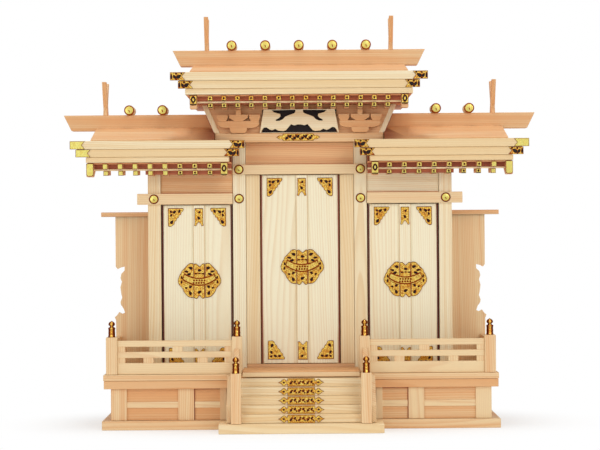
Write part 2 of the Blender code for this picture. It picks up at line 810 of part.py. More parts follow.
def make_plate_and_frieze():
    plate_low = CENTRE_WALL_TOP + FIT
    plate_high = plate_low + PLATE_HEIGHT
    box(
        "top_plate",
        (-PLATE_HALF_WIDTH, POST_FRONT_Y - PLATE_PROUD, plate_low),
        (PLATE_HALF_WIDTH, BACK_Y, plate_high),
    )
    low = plate_high + FIT
    high = low + FRIEZE_HEIGHT
    wide = PLATE_HALF_WIDTH + FRIEZE_FLARE
    outline = [(-PLATE_HALF_WIDTH, low), (PLATE_HALF_WIDTH, low), (wide, high), (-wide, high)]
    front_board("frieze", [outline], POST_FRONT_Y - FRIEZE_PROUD, BACK_Y, WARM_CYPRESS)
    return low, high


def make_brackets(low):
    """A bearing block, a boat-shaped arm, three small blocks and the nose that the rafters rest on."""
    back = POST_FRONT_Y - FRIEZE_PROUD - FIT
    front = back - BRACKET_DEPTH
    arm_low = low + BEARING_HEIGHT
    arm_high = arm_low + ARM_HEIGHT
    nose_low = arm_high + SMALL_BLOCK_HEIGHT
    for side in (-1, 1):
        name = side_name("bracket", side)
        x = side * CENTRE_POST_X

        def layer(stem, shift, half_outline, setback):
            points = [(x + shift - u, z) for u, z in half_outline]
            points += [(x + shift + u, z) for u, z in reversed(half_outline)]
            return front_board(stem, [points], front + setback, back)

        arm_curve = []
        for step in range(7):
            turn = math.pi / 2 * step / 6
            u = ARM_HALF_LENGTH - ARM_CURVE * (1 - math.cos(turn))
            arm_curve.append((u, arm_low + (ARM_HEIGHT - ARM_TIP_HEIGHT) * (1 - math.sin(turn))))
        arm = [(u, z) for u, z in reversed(arm_curve)] + [(ARM_HALF_LENGTH, arm_high)]
        bracket = layer(name, 0.0, arm, BRACKET_DEPTH * 0.2)
        bearing = [
            (BEARING_HALF_WIDTH * 0.75, low),
            (BEARING_HALF_WIDTH, low + BEARING_HEIGHT * 0.5),
            (BEARING_HALF_WIDTH, arm_low + LAP),
        ]
        join_with(bracket, as_cutter(layer(name + "_bearing", 0.0, bearing, 0.0)))
        for number, shift in enumerate((-SMALL_BLOCK_SPACING, 0.0, SMALL_BLOCK_SPACING)):
            wide = SMALL_BLOCK_HALF_WIDTH if shift else MIDDLE_BLOCK_HALF_WIDTH
            small = [
                (SMALL_BLOCK_HALF_WIDTH * 0.7, arm_high - LAP),
                (wide, arm_high + SMALL_BLOCK_HEIGHT * 0.5),
                (wide, nose_low),
            ]
            join_with(bracket, as_cutter(layer(f"{name}_block_{number}", shift, small, BRACKET_DEPTH * 0.1)))
        nose = [(NOSE_HALF_WIDTH, nose_low - LAP), (NOSE_HALF_WIDTH, nose_low + NOSE_HEIGHT)]
        join_with(bracket, as_cutter(layer(name + "_nose", 0.0, nose, BRACKET_DEPTH * 0.05)))


def make_cloud_transom(low, high):
    """A board carved as cloud scrolls, pierced by two openings at the top and a long one below."""
    back = POST_FRONT_Y - FRIEZE_PROUD - TRANSOM_PROUD
    front = back - TRANSOM_THICKNESS
    wide = TRANSOM_HALF_WIDTH
    top = high - LOWER_RAFTER_HEIGHT + SOFFIT
    outer = [(-wide, low), (wide, low), (wide - 0.1 * wide, top), (-wide + 0.1 * wide, top)]
    under_top = [
        (0.0046, 0.0000), (0.0050, 0.0032), (0.0068, 0.0046), (0.0115, 0.0062), (0.0176, 0.0086),
        (0.0208, 0.0120), (0.0250, 0.0138), (0.0292, 0.0140), (0.0298, 0.0126), (0.0254, 0.0102),
        (0.0234, 0.0078), (0.0240, 0.0052), (0.0276, 0.0044), (0.0320, 0.0030), (0.0346, 0.0004),
    ]
    over_foot = [
        (0.0480, 0.0006), (0.0470, 0.0032), (0.0444, 0.0062), (0.0414, 0.0066), (0.0376, 0.0040),
        (0.0344, 0.0028), (0.0302, 0.0045), (0.0264, 0.0022), (0.0200, 0.0016), (0.0170, 0.0026),
        (0.0138, 0.0062), (0.0104, 0.0104), (0.0064, 0.0088), (0.0020, 0.0100),
    ]
    holes = []
    for side in (-1, 1):
        holes.append([(side * x, top - TRANSOM_RIM - drop) for x, drop in under_top])
    foot = low + TRANSOM_RIM
    left = [(-x, foot + rise) for x, rise in over_foot]
    right = [(x, foot + rise) for x, rise in reversed(over_foot)]
    holes.append([(over_foot[0][0], foot), (-over_foot[0][0], foot)] + left + right)
    front_board("cloud_transom", [outer] + holes, front, back, PALE_CYPRESS)


def rafter_row(name, x_first, count, pitch, y_front, y_back, low, high):
    """A row of rafters as one helper solid, to be joined to its soffit board."""
    rafter = helper_box(
        name, (x_first - RAFTER_WIDTH / 2, y_front, low), (x_first + RAFTER_WIDTH / 2, y_back, high)
    )
    array = rafter.modifiers.new("row", "ARRAY")
    array.count = count
    array.use_relative_offset = False
    array.use_constant_offset = True
    array.constant_offset_displace = (pitch, 0.0, 0.0)
    return rafter


def make_rafters(name, low, lower_span, upper_span, x_first, count, pitch, eave, wall_inner, corners):
    """Two tiers of rafters under their soffit boards. Returns the top of the upper soffit.

    A board closes the gaps of the upper tier, and a taller block stands at each corner.
    """
    upper_front = POST_FRONT_Y - eave + UPPER_RAFTER_SET_BACK
    lower_front = POST_FRONT_Y - eave + LOWER_RAFTER_SET_BACK
    back = BACK_Y + BACK_EAVE - BACK_SOFFIT_SHORT
    lower_soffit = low + SOFFIT + LAP
    upper_low = lower_soffit + UPPER_RAFTER_HEIGHT - 2 * LAP
    x_low, x_high = lower_span
    soffit_front = lower_front + SOFFIT_SET_BACK
    soffit = box(name, (x_low, soffit_front, low), (x_high, back, lower_soffit), WARM_CYPRESS)
    wall_front = POST_FRONT_Y - FIT
    join_with(
        soffit,
        rafter_row(
            name + "_lower", x_first, count, pitch, lower_front, wall_front - wall_inner,
            low - LOWER_RAFTER_HEIGHT + SOFFIT, low + LAP,
        ),
    )
    join_with(
        soffit,
        rafter_row(
            name + "_upper", x_first, count, pitch, upper_front, back - 2 * LAP,
            lower_soffit - LAP, upper_low + LAP,
        ),
    )
    top = upper_low + SOFFIT
    x_low, x_high = upper_span
    upper_soffit = helper_box(
        name + "_upper_soffit",
        (x_low, upper_front + SOFFIT_SET_BACK, upper_low),
        (x_high, back + 2 * LAP, top),
    )
    join_with(soffit, upper_soffit)
    closing_front = lower_front + CLOSING_SET_BACK
    closing_board = helper_box(
        name + "_closing_board",
        (lower_span[0], closing_front, lower_soffit - LAP),
        (lower_span[1], closing_front + CLOSING_BOARD, upper_low + LAP),
    )
    join_with(soffit, closing_board)
    block_low = low + SOFFIT - LOWER_RAFTER_HEIGHT - CORNER_BLOCK_DROP
    block_back = upper_front + CORNER_BLOCK_DEPTH
    outline = [
        (upper_front, block_low),
        (upper_front + CORNER_BLOCK_FOOT, block_low),
        (block_back, low + LAP),
        (block_back, upper_low + LAP),
        (upper_front, upper_low + LAP),
    ]
    for number, x in enumerate(corners):
        block = side_board(f"{name}_corner_{number}", outline, x - CORNER_BLOCK / 2, x + CORNER_BLOCK / 2)
        join_with(soffit, as_cutter(block))
    return top


def make_eave(name, low, spans, heights, eave):
    """Three stepped boards along the front edge of a roof."""
    back = POST_FRONT_Y - eave + EAVE_DEPTH
    parts = []
    z = low
    for tier, ((x_low, x_high), height) in enumerate(zip(spans, heights)):
        front = POST_FRONT_Y - eave + EAVE_STEP * (len(heights) - 1 - tier)
        parts.append(((x_low, front, z if tier == 0 else z - LAP), (x_high, back, z + height)))
        z += height
    fused(name, parts, PALE_CYPRESS)
    return z


def make_roof(name, x_low, x_high, soffit_top, eave_top, eave, rise, seat):
    """The solid roof body, with a trench along its top that the ridge sits in.

    Returns the piece, the height where the slopes meet the ridge and the trench floor.
    """
    front = POST_FRONT_Y - eave + 0.006
    notch = POST_FRONT_Y - eave + EAVE_DEPTH + FIT
    back = BACK_Y + BACK_EAVE
    ridge_z = eave_top + rise
    seat_z = ridge_z - seat
    ridge_back = RIDGE_Y + RIDGE_DEPTH / 2 + FIT
    ridge_front = RIDGE_Y - RIDGE_DEPTH / 2 - FIT
    low = soffit_top + FIT
    outline = [
        (front, eave_top + FIT),
        (notch, eave_top + FIT),
        (notch, low),
        (back, low),
        (back, low + BACK_EDGE),
        (ridge_back, ridge_z),
        (ridge_back, seat_z),
        (ridge_front, seat_z),
        (ridge_front, ridge_z),
        (front, eave_top + ROOF_EDGE),
    ]
    return side_board(name, outline, x_low, x_high), ridge_z, seat_z


def add_billet(ridge, x, ridge_top):
    bm = bmesh.new()
    bmesh.ops.create_cone(
        bm, cap_ends=True, segments=20, radius1=BILLET_RADIUS, radius2=BILLET_RADIUS, depth=BILLET_LENGTH
    )
    bmesh.ops.rotate(bm, cent=(0.0, 0.0, 0.0), matrix=Matrix.Rotation(math.pi / 2, 3, "X"), verts=bm.verts)
    bmesh.ops.translate(bm, vec=(x, RIDGE_Y, ridge_top + BILLET_RADIUS - LAP), verts=bm.verts)
    mesh = bpy.data.meshes.new(ridge.name + "_billet")
    bm.to_mesh(mesh)
    bm.free()
    join_with(ridge, as_cutter(add(f"{ridge.name}_billet_{len(ridge.modifiers)}", mesh)))


def add_crossed_boards(ridge, x, ridge_top):
    """Two boards that cross just above the ridge and stand on it."""
    for lean, thickness in ((-1, FINIAL_BOARD), (1, FINIAL_BOARD - 2 * FIT)):
        bottom_y = RIDGE_Y - lean * FINIAL_BOARD_FOOT
        top_y = RIDGE_Y + lean * FINIAL_BOARD_LEAN
        half = FINIAL_BOARD_WIDTH / 2
        outline = [
            (bottom_y - half, ridge_top - thickness / 10),
            (bottom_y + half, ridge_top - thickness / 10),
            (top_y + half, ridge_top + FINIAL_BOARD_RISE),
            (top_y - half, ridge_top + FINIAL_BOARD_RISE),
        ]
        name = f"{ridge.name}_crossed_{len(ridge.modifiers)}"
        board = side_board(name, outline, x - thickness / 2, x + thickness / 2)
        join_with(ridge, as_cutter(board))


def make_ridge(name, outline_x, low, high, billets, crossed):
    (bottom_low, bottom_high), (top_low, top_high) = outline_x
    outline = [(bottom_low, low), (bottom_high, low), (top_high, high), (top_low, high)]
    ridge = front_board(name, [outline], RIDGE_Y - RIDGE_DEPTH / 2, RIDGE_Y + RIDGE_DEPTH / 2)
    for x in billets:
        add_billet(ridge, x, high)
    for x in crossed:
        add_crossed_boards(ridge, x, high)


def make_centre_roof(frieze_top):
    half_span = CENTRE_RAFTER_PITCH * (CENTRE_RAFTERS - 1) / 2
    lower = CENTRE_LOWER_SOFFIT_HALF_WIDTH
    upper = CENTRE_UPPER_SOFFIT_HALF_WIDTH
    soffit_top = make_rafters(
        "rafters_centre", frieze_top + FIT, (-lower, lower), (-upper, upper), -half_span, CENTRE_RAFTERS,
        CENTRE_RAFTER_PITCH, CENTRE_EAVE, FRIEZE_PROUD, (-CENTRE_CORNER_X, CENTRE_CORNER_X),
    )
    spans = [(-half, half) for half in CENTRE_EAVE_HALF_WIDTHS]
    eave_top = make_eave("eave_centre", soffit_top + FIT, spans, CENTRE_EAVE_HEIGHTS, CENTRE_EAVE)
    roof, ridge_z, seat_z = make_roof(
        "roof_centre", -CENTRE_ROOF_HALF_WIDTH, CENTRE_ROOF_HALF_WIDTH, soffit_top, eave_top,
        CENTRE_EAVE, CENTRE_RIDGE_RISE, CENTRE_RIDGE_SEAT,
    )
    bottom = CENTRE_RIDGE_HALF_WIDTH
    top = bottom + RIDGE_SPLAY
    make_ridge(
        "ridge_centre", ((-bottom, bottom), (-top, top)), seat_z + FIT, seat_z + FIT + CENTRE_RIDGE_HEIGHT,
        CENTRE_BILLETS, (-CENTRE_FINIAL_X, CENTRE_FINIAL_X),
    )


def frieze_edge(z):
    """Half width of the flared frieze, or of the top plate under it, at a height."""
    low = CENTRE_WALL_TOP + PLATE_HEIGHT + 2 * FIT
    return PLATE_HALF_WIDTH + FRIEZE_FLARE * max(0.0, z - low) / FRIEZE_HEIGHT


def make_wing_roofs():
    for side in (-1, 1):
        def span(x_low, x_high):
            return (x_low, x_high) if side > 0 else (-x_high, -x_low)

        hall = CENTRE_POST_X + POST / 2 + FIT
        half_row = WING_RAFTER_PITCH * (WING_RAFTERS - 1) / 2
        x_first = side * WING_ROW_MIDDLE - half_row
        soffit_top = make_rafters(
            side_name("rafters", side), WING_WALL_TOP + FIT, span(hall, WING_LOWER_SOFFIT_OUTER),
            span(hall, WING_UPPER_SOFFIT_OUTER), x_first, WING_RAFTERS, WING_RAFTER_PITCH, WING_EAVE, 0.0,
            [side * x for x in WING_CORNERS_X],
        )
        spans = [span(a, b) for a, b in zip(WING_EAVE_INNER, WING_EAVE_OUTER)]
        eave_top = make_eave(side_name("eave", side), soffit_top + FIT, spans, WING_EAVE_HEIGHTS, WING_EAVE)
        x_low, x_high = span(hall, WING_ROOF_OUTER)
        roof, ridge_z, seat_z = make_roof(
            side_name("roof", side), x_low, x_high, soffit_top, eave_top, WING_EAVE, WING_RIDGE_RISE,
            WING_RIDGE_SEAT,
        )
        ridge_low = seat_z + FIT
        ridge_high = ridge_low + WING_RIDGE_HEIGHT
        plate_edge = PLATE_HALF_WIDTH + 2 * FIT
        frieze_low = CENTRE_WALL_TOP + PLATE_HEIGHT + 2 * FIT
        frieze_high = frieze_low + FRIEZE_HEIGHT
        beside_hall = [
            (0.0, CENTRE_WALL_TOP - LAP),
            (side * plate_edge, CENTRE_WALL_TOP - LAP),
            (side * plate_edge, frieze_low),
            (side * (plate_edge + FRIEZE_FLARE), frieze_high),
            (0.0, frieze_high),
        ]
        hall_cut = front_board(roof.name + "_hall_cut", [beside_hall], -ROOF_CUT_REACH, ROOF_CUT_REACH)
        join_with(roof, as_cutter(hall_cut), "DIFFERENCE")
        bottom_span = span(frieze_edge(ridge_z) + 2 * FIT, WING_RIDGE_OUTER)
        top_span = span(frieze_edge(ridge_high) + 3 * FIT, WING_RIDGE_OUTER + RIDGE_SPLAY)
        make_ridge(
            side_name("ridge", side), (bottom_span, top_span), ridge_low, ridge_high,
            [side * x for x in WING_BILLETS], [side * WING_FINIAL_X],
        )


make_plinth()
make_base_walls()
make_deck()
make_stairs()
make_stair_rails()
make_railings()
make_side_screens()
make_posts_and_walls()
make_door_frames()
make_doors()
frieze_low, frieze_high = make_plate_and_frieze()
make_brackets(frieze_low)
make_cloud_transom(frieze_low, frieze_high)
make_centre_roof(frieze_high)
make_wing_roofs()
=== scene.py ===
"""Looks for a household shrine (kamidana) with three rooms, in planed cypress with gilt fittings.

Every piece is made where the CAD frame has it: X to the viewer's right, Y to the back, Z up, in
metres. The file follows the shrine from its plinth up to the crossed boards on its ridges.
"""

import math
import random

import bmesh
import bpy
from mathutils import Matrix, Vector


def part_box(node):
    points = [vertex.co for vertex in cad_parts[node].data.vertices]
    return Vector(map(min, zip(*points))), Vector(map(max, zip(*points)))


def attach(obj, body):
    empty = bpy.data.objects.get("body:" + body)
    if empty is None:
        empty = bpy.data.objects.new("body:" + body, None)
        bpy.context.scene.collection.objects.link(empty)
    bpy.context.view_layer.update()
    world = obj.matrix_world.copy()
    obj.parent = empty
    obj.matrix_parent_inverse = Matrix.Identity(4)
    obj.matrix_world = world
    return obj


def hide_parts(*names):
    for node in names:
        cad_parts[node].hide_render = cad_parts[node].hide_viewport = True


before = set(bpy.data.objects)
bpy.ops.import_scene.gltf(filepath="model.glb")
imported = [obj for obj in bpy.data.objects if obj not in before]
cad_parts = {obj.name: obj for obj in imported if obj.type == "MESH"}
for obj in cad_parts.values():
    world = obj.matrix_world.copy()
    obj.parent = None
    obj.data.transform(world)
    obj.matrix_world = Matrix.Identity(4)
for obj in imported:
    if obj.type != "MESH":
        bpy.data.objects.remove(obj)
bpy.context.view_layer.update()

# The camera
# A long lens two and a half metres in front, level with the middle of the shrine. The photograph
# leans by less than half a degree, so the camera is rolled by as much.
LENS = 118.7
VIEW_DISTANCE = 2.527
VIEW_HEIGHT = 0.252
LEAN = math.radians(0.42)

camera = bpy.data.objects.new("camera", bpy.data.cameras.new("camera"))
camera.data.lens = LENS
camera.data.sensor_width = 36.0
camera.matrix_world = (
    Matrix.Translation((0.0, -VIEW_DISTANCE, VIEW_HEIGHT))
    @ Matrix.Rotation(math.pi / 2, 4, "X")
    @ Matrix.Rotation(-LEAN, 4, "Z")
)
bpy.context.scene.collection.objects.link(camera)
bpy.context.scene.camera = camera
bpy.context.scene.view_settings.view_transform = "Standard"


# The floor, the white background and the lamps
# A pale studio floor that fades to plain white away from the shrine. A large soft lamp stands at
# the front right, a weaker one at the left and a small one overhead, under an even white sky.
class Signal:
    """One socket of a material, so that the material's sums are written as sums."""

    def __init__(self, tree, socket):
        self.tree = tree
        self.socket = socket

    def feed(self, slot):
        self.tree.links.new(self.socket, slot)

    def make(self, kind, inputs, output=0, **settings):
        """Any other node, with its settings and what goes into its sockets."""
        node = self.tree.nodes.new(kind)
        for name, value in settings.items():
            setattr(node, name, value)
        for slot, term in inputs.items():
            if isinstance(term, Signal):
                term.feed(node.inputs[slot])
            else:
                node.inputs[slot].default_value = term
        return Signal(self.tree, node.outputs[output]) if len(node.outputs) else None

    def maths(self, operation, *terms):
        return self.make("ShaderNodeMath", dict(enumerate(terms)), operation=operation)

    def __add__(self, other):
        return self.maths("ADD", self, other)

    def __sub__(self, other):
        return self.maths("SUBTRACT", self, other)

    def __rsub__(self, other):
        return self.maths("SUBTRACT", other, self)

    def __mul__(self, other):
        return self.maths("MULTIPLY", self, other)

    def __truediv__(self, other):
        return self.maths("DIVIDE", self, other)

    def __pow__(self, other):
        return self.maths("POWER", self, other)

    __radd__ = __add__
    __rmul__ = __mul__

    def between(self, low, high):
        """0 below low, 1 above high and a soft rise between them."""
        terms = {"Value": self, "From Min": low, "From Max": high}
        return self.make("ShaderNodeMapRange", terms, interpolation_type="SMOOTHSTEP")

    def stretched(self, along, across, depth):
        terms = {0: self, 1: (along, across, depth)}
        return self.make("ShaderNodeVectorMath", terms, operation="MULTIPLY")

    def clouds(self, scale, detail=2.0, roughness=0.5):
        terms = {"Vector": self, "Scale": scale, "Detail": detail, "Roughness": roughness}
        return self.make("ShaderNodeTexNoise", terms)


def paint(red, green, blue):
    """A colour read off a colour chart, 0 to 255, as the shader wants it."""
    levels = (red, green, blue)
    linear = [((level / 255 + 0.055) / 1.055) ** 2.4 if level > 10 else level / 3295 for level in levels]
    return (*linear, 1.0)


def mixed(share, first, second):
    """Two colours mixed by a share from 0 to 1."""
    return share.make("ShaderNodeMix", {0: share, 6: first, 7: second}, 2, data_type="RGBA")


def spot(tree):
    """The place on the object that is being shaded."""
    return Signal(tree, tree.nodes.new("ShaderNodeTexCoord").outputs["Object"])


def seen_directly(tree):
    """1 for what the camera sees straight, in a mirror or through glass, and 0 for lighting."""
    path = tree.nodes.new("ShaderNodeLightPath")
    rays = [Signal(tree, path.outputs[f"Is {kind} Ray"]) for kind in ("Camera", "Glossy", "Transmission")]
    return rays[0].maths("MAXIMUM", rays[0].maths("MAXIMUM", rays[0], rays[1]), rays[2])


SKY_LIGHT = 0.60
FLOOR_HALF = 4.0
FLOOR_DROP = 0.0002

world = bpy.data.worlds.new("studio")
world.use_nodes = True
bpy.context.scene.world = world
sky = world.node_tree
sky.nodes.clear()
direct = seen_directly(sky)
white = direct.make("ShaderNodeBackground", {"Color": (1.0, 1.0, 1.0, 1.0), "Strength": 1.0})
soft = direct.make("ShaderNodeBackground", {"Color": (1.0, 0.985, 0.96, 1.0), "Strength": SKY_LIGHT})
shown = direct.make("ShaderNodeMixShader", {0: direct, 1: soft, 2: white})
shown.make("ShaderNodeOutputWorld", {"Surface": shown})

floor_material = bpy.data.materials.new("studio_floor")
floor_material.use_nodes = True
floor_tree = floor_material.node_tree
floor_tree.nodes.clear()
direct = seen_directly(floor_tree)
place = spot(floor_tree)
reach = place.make("ShaderNodeVectorMath", {0: place.stretched(1.0, 1.6, 1.0)}, 1, operation="LENGTH")
speckle = place.clouds(420.0).between(0.3, 0.7) * 0.03
pale = mixed(speckle, paint(252, 252, 251), paint(240, 239, 237))
matt = reach.make("ShaderNodeBsdfDiffuse", {"Color": pale})
lit = reach.make("ShaderNodeEmission", {"Color": (1.0, 1.0, 1.0, 1.0), "Strength": 1.0})
far = direct * (reach.between(0.16, 0.42) * 0.6 + 0.4)
shown = far.make("ShaderNodeMixShader", {0: far, 1: matt, 2: lit})
shown.make("ShaderNodeOutputMaterial", {"Surface": shown})

bm = bmesh.new()
bmesh.ops.create_grid(bm, x_segments=2, y_segments=2, size=FLOOR_HALF)
bmesh.ops.translate(bm, vec=(0.0, 0.0, -FLOOR_DROP), verts=bm.verts)
floor_mesh = bpy.data.meshes.new("studio_floor")
bm.to_mesh(floor_mesh)
bm.free()
floor_mesh.materials.append(floor_material)
floor = bpy.data.objects.new("studio_floor", floor_mesh)
bpy.context.scene.collection.objects.link(floor)


def softbox(name, place, aim, size, power, colour=(1.0, 1.0, 1.0)):
    """A large flat lamp that is turned towards a point."""
    lamp = bpy.data.lights.new(name, "AREA")
    lamp.shape = "RECTANGLE"
    lamp.size, lamp.size_y = size
    lamp.energy = power
    lamp.color = colour
    holder = bpy.data.objects.new(name, lamp)
    holder.location = place
    holder.rotation_euler = (Vector(aim) - Vector(place)).to_track_quat("-Z", "Y").to_euler()
    bpy.context.scene.collection.objects.link(holder)


softbox("key_lamp", (1.2, -2.5, 1.5), (0.0, 0.0, 0.25), (1.2, 1.2), 18.0, (1.0, 0.98, 0.95))
softbox("fill_lamp", (-1.5, -2.4, 0.45), (0.0, 0.0, 0.22), (1.6, 1.6), 14.5)
softbox("top_lamp", (0.0, -0.05, 2.3), (0.0, 0.0, 0.3), (0.5, 0.5), 14.0)


# The plinth and the base of the steps
# Planed boards of Japanese cypress (hinoki) that lie flat under everything. All the wood is of
# one kind, bare and unvarnished: palest at the doors and eaves, pinker and redder elsewhere. The
# redder tones in recesses are partly painted shade, and the red stock is painted shade.
def finish(name):
    """A new material, with its tree and the surface that its looks are fed into."""
    material = bpy.data.materials.new(name)
    material.use_nodes = True
    return material, material.node_tree, material.node_tree.nodes["Principled BSDF"]


def carried(tree, name, output="Fac"):
    """A value that the mesh carries at each of its corners."""
    reader = tree.nodes.new("ShaderNodeAttribute")
    reader.attribute_name = name
    return Signal(tree, reader.outputs[output])


def deepened(colour, *shares):
    """A colour with each of its channels taken down to a share."""
    return tuple(channel * share for channel, share in zip(colour, shares)) + (1.0,)


RING_PITCH = 0.0023


def planed_cypress(name, light, deep):
    """Growth rings round a far-off heart, long fine fibres and a slow flush of colour along the plank; a
    tone past 1.1 paints shade.
    """
    material, tree, surface = finish(name)
    plank = carried(tree, "grain", "Vector")
    blush_and_shade = carried(tree, "blush_and_shade")
    splitter = plank.make("ShaderNodeSeparateXYZ", {0: plank})
    along, across, depth = (Signal(tree, socket) for socket in splitter.socket.node.outputs)

    wander = plank.stretched(3.0, 18.0, 18.0).clouds(1.0) - 0.5
    heart = (across * across + depth * depth) ** 0.5 + wander * 0.012 + along * 0.012
    ring = heart.maths("FRACT", heart / RING_PITCH)
    late = ring.between(0.30, 0.85) * (1.0 - ring.between(0.88, 1.0))
    wide = heart.make(
        "ShaderNodeTexNoise", {"W": heart * 150.0, "Scale": 1.0, "Detail": 2.0}, noise_dimensions="1D"
    )
    streak = wide.between(0.35, 0.7)
    fibre = plank.stretched(22.0, 1500.0, 1500.0).clouds(1.0, 3.0, 0.6)
    pores = plank.stretched(90.0, 3800.0, 3800.0).clouds(1.0, 1.0).between(0.60, 0.78)
    slow = plank.stretched(2.2, 22.0, 22.0).clouds(1.0, 3.0).between(0.3, 0.72)

    depth_of_tone = blush_and_shade + late * 0.20 + streak * 0.26 + slow * 0.30 + fibre * 0.22 - 0.42
    body = mixed(depth_of_tone.between(0.0, 1.0), light, deep)
    # Tones past 1.1 run on to a near-black red: painted shade, for the shadow on the wing roofs and the dark
    # of the gaps by the doors.
    painted_shade = deepened(deep, 0.36, 0.17, 0.14)
    body = mixed(blush_and_shade.between(1.1, 3.0), body, painted_shade)
    fine = (late * 0.22 + pores * 0.20 + fibre.between(0.55, 0.8) * 0.12) * 0.6
    darker = deepened(deep, 0.74, 0.58, 0.44)
    mixed(fine, body, darker).feed(surface.inputs["Base Color"])
    sheen = 0.62 - late * 0.10 + fibre * 0.10
    sheen.feed(surface.inputs["Roughness"])
    relief = fibre * 0.6 - pores * 0.7 + late * 0.5
    bump = relief.make("ShaderNodeBump", {"Height": relief, "Strength": 0.35, "Distance": 0.00012})
    bump.feed(surface.inputs["Normal"])
    return material


STOCK = {
    "pale": ("pale_cypress", planed_cypress("pale_cypress", paint(243, 235, 206), paint(231, 202, 154))),
    "plain": ("cypress", planed_cypress("plain_cypress", paint(234, 208, 164), paint(222, 166, 112))),
    "warm": ("warm_cypress", planed_cypress("warm_cypress", paint(228, 182, 132), paint(206, 122, 72))),
    # The red stock paints shade: it makes only the strips, beads and boards that stand for shadow in gaps,
    # in recesses and along edges.
    "red": ("warm_cypress", planed_cypress("painted_shade_cypress", paint(200, 116, 76), paint(138, 66, 44))),
}


def ease(bm, edges, edge):
    """Takes the sharpness off some edges, as a plane does."""
    bmesh.ops.bevel(
        bm, geom=list(edges), offset=edge, affect="EDGES", segments=2, profile=0.5, material=-1,
        clamp_overlap=True,
    )


